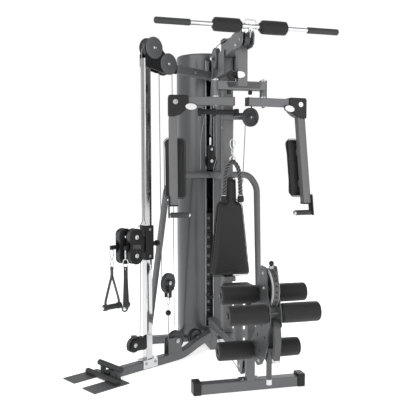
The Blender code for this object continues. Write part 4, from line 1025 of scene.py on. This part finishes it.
def carabiner(centre, across, length, width, wire):
    """A spring hook: a closed wire loop, rounded at both ends and narrower at the foot."""
    t = np.linspace(0, 2 * math.pi, 40, endpoint=False)
    taper = 1 + 0.25 * np.sin(t)
    u = width / 2 * np.cos(t) * taper
    v = length / 2 * np.sin(t)
    loop = np.asarray(centre) + u[:, None] * unit(across) + v[:, None] * Z
    return tube(loop, wire, np.cross(unit(across), Z), 12, True)


def band(path, width, thickness, across):
    """Flat webbing carried along a path, its width kept in one direction."""
    half, thin = width / 2, thickness / 2
    section = soft_outline([(-half, -thin), (half, -thin), (half, thin), (-half, thin)], thin * 0.9, 3)
    return sweep(even(np.asarray(path), 0.006), section, across)


def build_handles():
    for word, a, n in (("front", -0.178, -0.026), ("back", -0.235, 0.03)):
        body = word + "_strap"
        hang = ALONG if word == "back" else unit([0.25, 0.97, 0])
        top = tower(a, n, HEAD_Z - 0.03)
        low = top - Z * 0.315 * SCALE
        flat = np.cross(hang, Z)
        hooks = [carabiner(top - Z * 0.012, hang, 0.062, 0.026, 0.0036),
                 carabiner(top - Z * 0.070, flat, 0.058, 0.030, 0.0034),
                 tube(top - Z * 0.097 + 0.0 * flat + np.stack([np.linspace(-1, 1, 9) * 0.017] * 3, -1) * hang, 0.0032,
                      Z, 12)]
        piece(f"handle_hooks_{word}", hooks, CHROME, body, ["strap_handle_" + word], "chrome")
        legs = []
        for k in (-1, 1):
            path = fillet([top - Z * 0.092, top - Z * 0.135, low + hang * k * 0.050 + Z * 0.035,
                           low + hang * k * 0.050 + Z * 0.016], 0.02, 6)
            legs.append(band(path, 0.024, 0.0028, flat))
            t = np.linspace(0, 2 * math.pi, 40, endpoint=False)
            wrap = low + hang * k * 0.050 + (np.cos(t)[:, None] * flat + np.sin(t)[:, None] * Z) * 0.0185
            half = np.array([(-0.0115, -0.0013), (0.0115, -0.0013), (0.0115, 0.0013), (-0.0115, 0.0013)])
            legs.append(sweep(wrap, half, hang, closed=True))
        sewn = band(np.array([top - Z * 0.086, top - Z * 0.150]), 0.026, 0.0075, flat)
        piece(f"handle_webbing_{word}", [*legs, sewn], WEBBING, body, slot="rope")
        ends = np.array([-0.064, -0.061, -0.058, 0.0, 0.058, 0.061, 0.064])
        size = np.array([0.012, 0.0165, 0.0158, 0.0172, 0.0158, 0.0165, 0.012])
        grip = tube(low + ends[:, None] * SCALE * hang, size, Z, 32)
        piece(f"handle_foam_{word}", [grip], RUBBER, body, slot="foam")
        profile = [(0, 0.003), (0.006, 0.0028), (0.010, 0.0012), (0.011, -0.001), (0, -0.001)]
        discs = [turned(low + hang * k * 0.0665, hang * k, profile, 24) for k in (-1, 1)]
        piece(f"handle_plugs_{word}", discs, CHROME, body, slot="chrome")


def rope_strand(path, radius, yarns=3, pitch=0.062):
    """Twisted rope as (way, yarns, core): yarns wound round the way, centre = way + 0.66 R (cos a side + sin a rise),
    a = 2 pi (s / pitch + k / yarns), each of radius 0.34 R, on a core of radius 0.72 R in painted shade, for the shade
    in the grooves between the yarns."""
    path = even(np.asarray(path), 0.0025)
    along = np.r_[0, np.cumsum(np.linalg.norm(np.diff(path, axis=0), axis=1))]
    tangent = np.gradient(path, axis=0)
    tangent = tangent / np.linalg.norm(tangent, axis=1)[:, None]
    side = np.cross(tangent, Y)
    side = side / np.linalg.norm(side, axis=1)[:, None]
    rise = np.cross(tangent, side)
    made = []
    for k in range(yarns):
        angle = 2 * math.pi * (along / pitch + k / yarns)
        centre = path + 0.66 * radius * (np.cos(angle)[:, None] * side + np.sin(angle)[:, None] * rise)
        made.append(tube(centre, 0.34 * radius, Y, 12))
    return path, made, tube(path, 0.72 * radius, Y, 20)


def build_rope():
    y = ROPE_Y
    ring = oval(0.016, 0.018, 32)
    loop = real(0, y, 1.262) + ring[:, :1] * X + ring[:, 1:] * Z
    hooks = [carabiner(real(0, y, 1.347), X, 0.060, 0.030, 0.0036),
             carabiner(real(0, y, 1.303), Y, 0.056, 0.030, 0.0036), tube(loop, 0.0045, Y, 12, True)]
    piece("rope_hooks", hooks, CHROME, "rope", ["triceps_rope"], "chrome")
    ends, rings = [], []
    for side in (-1, 1):
        foot = real(side * 0.05, y, 1.04)
        ends.append(turned(foot, -Z, [(0.0, -0.006), (0.0145, -0.006), (0.0185, -0.001), (0.0205, 0.008),
                                      (0.0208, 0.024), (0.0175, 0.033), (0.0, 0.0352)], 36))
        rings.append(turned(foot + Z * 0.010, -Z, [(0.0130, -0.004), (0.0160, -0.003), (0.0160, 0.003),
                                                   (0.0130, 0.004)], 32, True))
    knobs = piece("rope_end_knobs", ends, BLACK, "rope", slot="black_plastic")
    piece("rope_end_rings", rings, CHROME, "rope", slot="chrome")
    profile = [(0.0, -0.012), (0.014, -0.012), (0.019, -0.008), (0.0195, 0.004), (0.014, 0.010), (0.0, 0.011)]
    neck = turned(real(0, y, 1.248), Z, profile, 32)
    piece("rope_neck_binding", [neck], RUBBER, "rope", slot="rope")
    for word, side in SIDES:
        path = fillet([real(side * 0.006, y, 1.246), real(side * 0.030, y, 1.222), real(side * 0.044, y, 1.17),
                       real(side * 0.05, y, 1.038)], 0.022, 8)
        line, yarns, core = rope_strand(path, 0.0138 * SCALE)
        strand = piece("rope_strand_" + word, yarns, ROPE, "rope", slot="rope", sharp=70)
        # Painted shade: the near black core shows between the yarns as the shade in the rope's grooves.
        piece("rope_groove_shade_" + word, [core], SHADOW, "rope", slot="rope")


# Cables.


def hung_between(name, runs):
    """Cable from the frame to a moving body: tubes along the runs, on no body, their place baked into the mesh."""
    shapes = [tube(run, CABLE_R, [0.3, 0.4, 0.5], 10) for run in runs]
    made = piece(name, shapes, CABLE, None, slot="cable")
    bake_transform(made)


def build_cables():
    runs = [
        [tower(0.205, 0, 1.83), tower(0.205, 0, 1.70), tower(0.214, 0.0, 0.62), tower(0.214, 0.0, 0.22)],
        [tower(0.078, 0.0, 1.957), tower(0.12, 0.0, 1.920), tower(0.150, 0.0, 1.888), tower(0.178, 0.0, 1.884)],
    ]
    shapes = [tube(fillet(run, 0.03, 8) if len(run) > 2 else np.array(run), CABLE_R, [0.3, 0.4, 0.5], 10)
              for run in runs]
    piece("tower_cables", shapes, CABLE, "frame", ["tower_cable"], "cable")
    upper = fillet([tower(-0.0275, 0, 1.90), tower(-0.0275, 0, 0.885), tower(-0.066, 0, 0.86)], 0.03, 8)
    lower = even(np.array([tower(-0.063, -0.02, 0.66), tower(-0.063, -0.006, 0.175)]), 0.05)
    hung_between("carriage_cable_upper", [even(upper, 0.03)])
    down = even(np.array([tower(0.102, 0, 1.80), tower(0.118, 0.01, 1.0), tower(0.14, 0.03, 0.52)]), 0.05)
    hung_between("floater_cable_upper", [down])
    down = even(np.array([real(-0.338, -0.42, 0.30), tower(0.168, 0.0, 0.13)]), 0.02)
    hung_between("floater_cable_lower", [down])
    hung_between("carriage_cable_lower", [lower])
    shapes = [tube([real(-0.006, -0.3, 0.12), real(-0.006, -0.84, 0.055)], CABLE_R, X, 10),
              tube([real(0.0035, -0.896, 0.148), real(0.0035, -1.10, 0.30), real(0.0035, -1.16, 0.40)], CABLE_R, X, 10)]
    piece("floor_cable", shapes, CABLE, "frame", ["low_cable"], "cable")
    over = fillet([real(-0.006, -0.925, 1.944), real(-0.0385, -0.60, 1.952), real(-0.036, -0.44, 1.944),
                   real(-0.0325, -0.365, 1.90), real(-0.0325, -0.352, 1.86)], 0.03, 8)
    down = fillet([real(-0.0325, -0.354, 1.87), real(-0.0325, -0.30, 1.70), real(-0.0325, -0.276, 1.42)], 0.05, 8)
    second = np.array([real(-0.008, -0.25, 1.86), real(-0.024, -0.272, 1.41)])
    third = fillet([real(0.064, -0.664, 1.512), real(0.012, -0.672, 1.510), real(0.003, -0.676, 1.49),
                    real(0.001, -0.676, 1.385)], 0.012, 6)
    fourth = [fillet([real(-0.150, -0.60, 1.512), real(-0.165, -0.56, 1.37), real(-0.148, -0.50, 1.20)], 0.05, 6),
              fillet([real(-0.068, -0.56, 1.50), real(-0.052, -0.52, 1.27), real(-0.062, -0.47, 1.20)], 0.04, 6)]
    fourth.append(np.array([real(0.088, -0.645, 1.49), real(0.080, -0.62, 1.12)]))
    shapes = [*[tube(run, CABLE_R, Y, 10) for run in fourth], tube(over, CABLE_R, Z + 0.2 * X, 10),
              tube(third, CABLE_R, Y, 10)]
    hung_between("block_cables", [even(down, 0.02), even(second, 0.02)])
    bar = rounded_box(real(-0.195, -0.628, 1.523), real(0.055, -0.592, 1.551), 0.004)
    ends = [rounded_box(real(x - 0.012, -0.634, 1.512), real(x + 0.012, -0.590, 1.557), 0.004)
            for x in (-0.186, -0.1, 0.04)]
    piece("column_pulley_arm", [bar, *ends], BLACK, "frame", slot="black_plastic")
    piece("crown_cables", shapes, CABLE, "frame", slot="cable")


def build_lift_block():
    low, high = (np.array(c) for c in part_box("cable_block"))
    x, y = (low[0] + high[0]) / 2, (low[1] + high[1]) / 2
    outline = soft_outline([(-0.0232, 1.193), (0.0232, 1.193), (0.0232, 1.335), (0.012, 1.352), (-0.012, 1.352),
                            (-0.0232, 1.335)], 0.006) * [1, SCALE]
    plates = [slab(outline, (x, y + s * 0.024, 0), X, Z, 0.006, 0.0015) for s in (-1, 1)]
    core = rounded_box((x - 0.012, y - 0.022, 1.30 * SCALE), (x + 0.012, y + 0.022, 1.35 * SCALE), 0.002)
    piece("lift_block_plates", [*plates, core], BLACK, "lift_block", ["cable_block"], "black_plastic")
    piece("lift_block_wheel", [sheave((x, y, 1.25 * SCALE), Y, 0.044, 0.034)], BLACK, "lift_block",
          slot="pulley_plastic", sharp=45)
    stem = tube([np.array([x, y, 1.34 * SCALE]), np.array([x, y, 1.40 * SCALE])], 0.0075, X, 20)
    bolts = [bolt((x, y - 0.0275, 1.25 * SCALE), -Y, 0.008), bolt((x, y - 0.0275, 1.325 * SCALE), -Y, 0.0065)]
    piece("lift_block_bolts", [stem, *bolts], CHROME, "lift_block", slot="chrome")
    upper = [sheave(real(x0, -0.252, 1.868), X, 0.040, 0.014) for x0 in (-0.032, -0.012)]
    piece("shroud_top_wheels", upper, BLACK, "frame", slot="pulley_plastic", sharp=45)
    ears = [slab(soft_outline([(-0.285, 1.80), (-0.205, 1.80), (-0.225, 1.885), (-0.275, 1.885)], 0.01) * SCALE,
                 real(x0, 0, 0), Y, Z, 0.004, 0.001) for x0 in (-0.043, -0.022, -0.001)]
    piece("shroud_top_bracket", ears, PAINT, "frame", slot="frame_paint")


def build_tower_trim():
    # Painted shade: thin near black discs on the post's face, standing in for the shade inside its height holes.
    holes = [turned(tower(0.0226, 0, z), ALONG, [(0.0, 0.0004), (0.0062, 0.0003), (0.0062, -0.001), (0.0, -0.001)], 20)
             for z in np.arange(0.32, 1.62, 0.055)]
    piece("post_height_bore_shade", holes, SHADOW, "frame", slot="chrome")
    bolts = [bolt(tower(a, -0.0315, 0.038), -ACROSS, 0.0075) for a in (-0.035, 0.035)]
    bolts += [bolt(tower(a, 0.0315, 0.038), ACROSS, 0.0075) for a in (-0.035, 0.035)]
    bolts += [bolt(tower(0.36, s * 0.0185 - 0.026, 1.797), ACROSS * s, 0.007) for s in (-1, 1)]
    piece("tower_bolts", bolts, STEEL, "frame", slot="chrome")
    bars = [tube([tower(-0.319, -0.131, 0.0175), tower(-0.319, 0.166, 0.0175)], 0.0178, Z, 28),
            tube([tower(-0.265, -0.091, 0.0673), tower(-0.265, 0.121, 0.0673)], 0.0180, Z, 28)]
    piece("heel_bar_rubber", bars, RUBBER, "frame", slot="foam")
    end = slab(soft_outline([(-0.306, 0.0), (-0.294, 0.0), (-0.294, 0.052), (-0.306, 0.052)], 0.003) * SCALE,
               tower(0, 0, 0), ALONG, Z, 0.053 * SCALE, 0.001)
    piece("tower_base_end_cap", [end], BLACK, "frame", slot="black_plastic")


# Room.


def area_light(name, place, aim, size, power, colour=(1, 1, 1)):
    data = bpy.data.lights.new(name, "AREA")
    data.shape = "RECTANGLE"
    data.size, data.size_y = size
    data.energy = power
    data.color = colour
    obj = bpy.data.objects.new(name, data)
    bpy.context.scene.collection.objects.link(obj)
    obj.location = place
    turn = unit(np.array(aim, float) - np.array(place, float))
    pitch = math.acos(-turn[2])
    obj.rotation_euler = (pitch, 0, math.atan2(turn[1], turn[0]) - math.pi / 2)
    return obj


def build_room():
    scene = bpy.context.scene
    scene.view_settings.view_transform = "Standard"
    cam = bpy.data.cameras.new("camera")
    cam.lens = CAMERA_LENS
    cam.sensor_width = 36.0
    obj = bpy.data.objects.new("camera", cam)
    scene.collection.objects.link(obj)
    obj.location = CAMERA_PLACE
    obj.rotation_euler = [math.radians(v) for v in CAMERA_TURN]
    scene.camera = obj
    size = 14.0
    u = np.linspace(-size, size, 3)
    points = np.stack([*np.meshgrid(u, u), np.full((3, 3), -0.0006)], -1)
    flat, faces = grid(points)
    mesh = bpy.data.meshes.new("floor")
    mesh.from_pydata(flat, [], faces)
    floor = bpy.data.objects.new("floor", mesh)
    scene.collection.objects.link(floor)
    pale = finish("pale_floor", (0.90, 0.90, 0.90), 0.8, 0.0, GRAIN, 200.0, 0.02, (1.0, 0.01),
                  Emission_Color=(1.0, 1.0, 1.0, 1.0), Emission_Strength=0.64)
    mesh.materials.append(pale)
    world = bpy.data.worlds.new("soft_room")
    scene.world = world
    world.use_nodes = True
    tree = world.node_tree
    back = tree.nodes["Background"]
    back.inputs["Strength"].default_value = 0.85
    place = node(tree, "ShaderNodeTexCoord").outputs["Generated"]
    way = node(tree, "ShaderNodeSeparateXYZ", {"Vector": place}).outputs
    ramp = node(tree, "ShaderNodeMapRange", {"Value": way["Z"], "From Min": 0.05, "From Max": 0.6, "To Min": 1.0,
                                             "To Max": 0.55})
    dark_side = node(tree, "ShaderNodeMapRange", {"Value": way["X"], "From Min": 0.72, "From Max": 0.90, "To Min": 1.0,
                                                  "To Max": 0.16})
    grey = node(tree, "ShaderNodeMath", {0: ramp.outputs[0], 1: dark_side.outputs[0]}, operation="MULTIPLY")
    shade = node(tree, "ShaderNodeCombineXYZ", {0: grey.outputs[0], 1: grey.outputs[0], 2: grey.outputs[0]})
    seen = node(tree, "ShaderNodeLightPath").outputs["Is Camera Ray"]
    mix = node(tree, "ShaderNodeMix", {"Factor": seen}, data_type="VECTOR")
    tree.links.new(shade.outputs[0], mix.inputs[4])
    mix.inputs[5].default_value = (1.2, 1.2, 1.2)
    tree.links.new(mix.outputs[1], back.inputs["Color"])
    area_light("key_light", (-3.4, -3.2, 3.4), (0, -0.4, 0.9), (5.0, 4.4), 125)
    area_light("fill_light", (2.4, -4.7, 2.4), (0, -0.5, 1.0), (4.0, 3.0), 55)
    area_light("back_light", (2.0, 3.2, 3.0), (0, 0, 1.0), (4.0, 3.0), 70)


build_frame()
build_shroud()
build_stack()
build_rolls()
build_leg_station()
build_press()
build_arms()
build_lat_bar()
build_pulleys()
build_carriage()
build_handles()
build_rope()
build_cables()
build_lift_block()
build_tower_trim()
build_pads()
build_room()
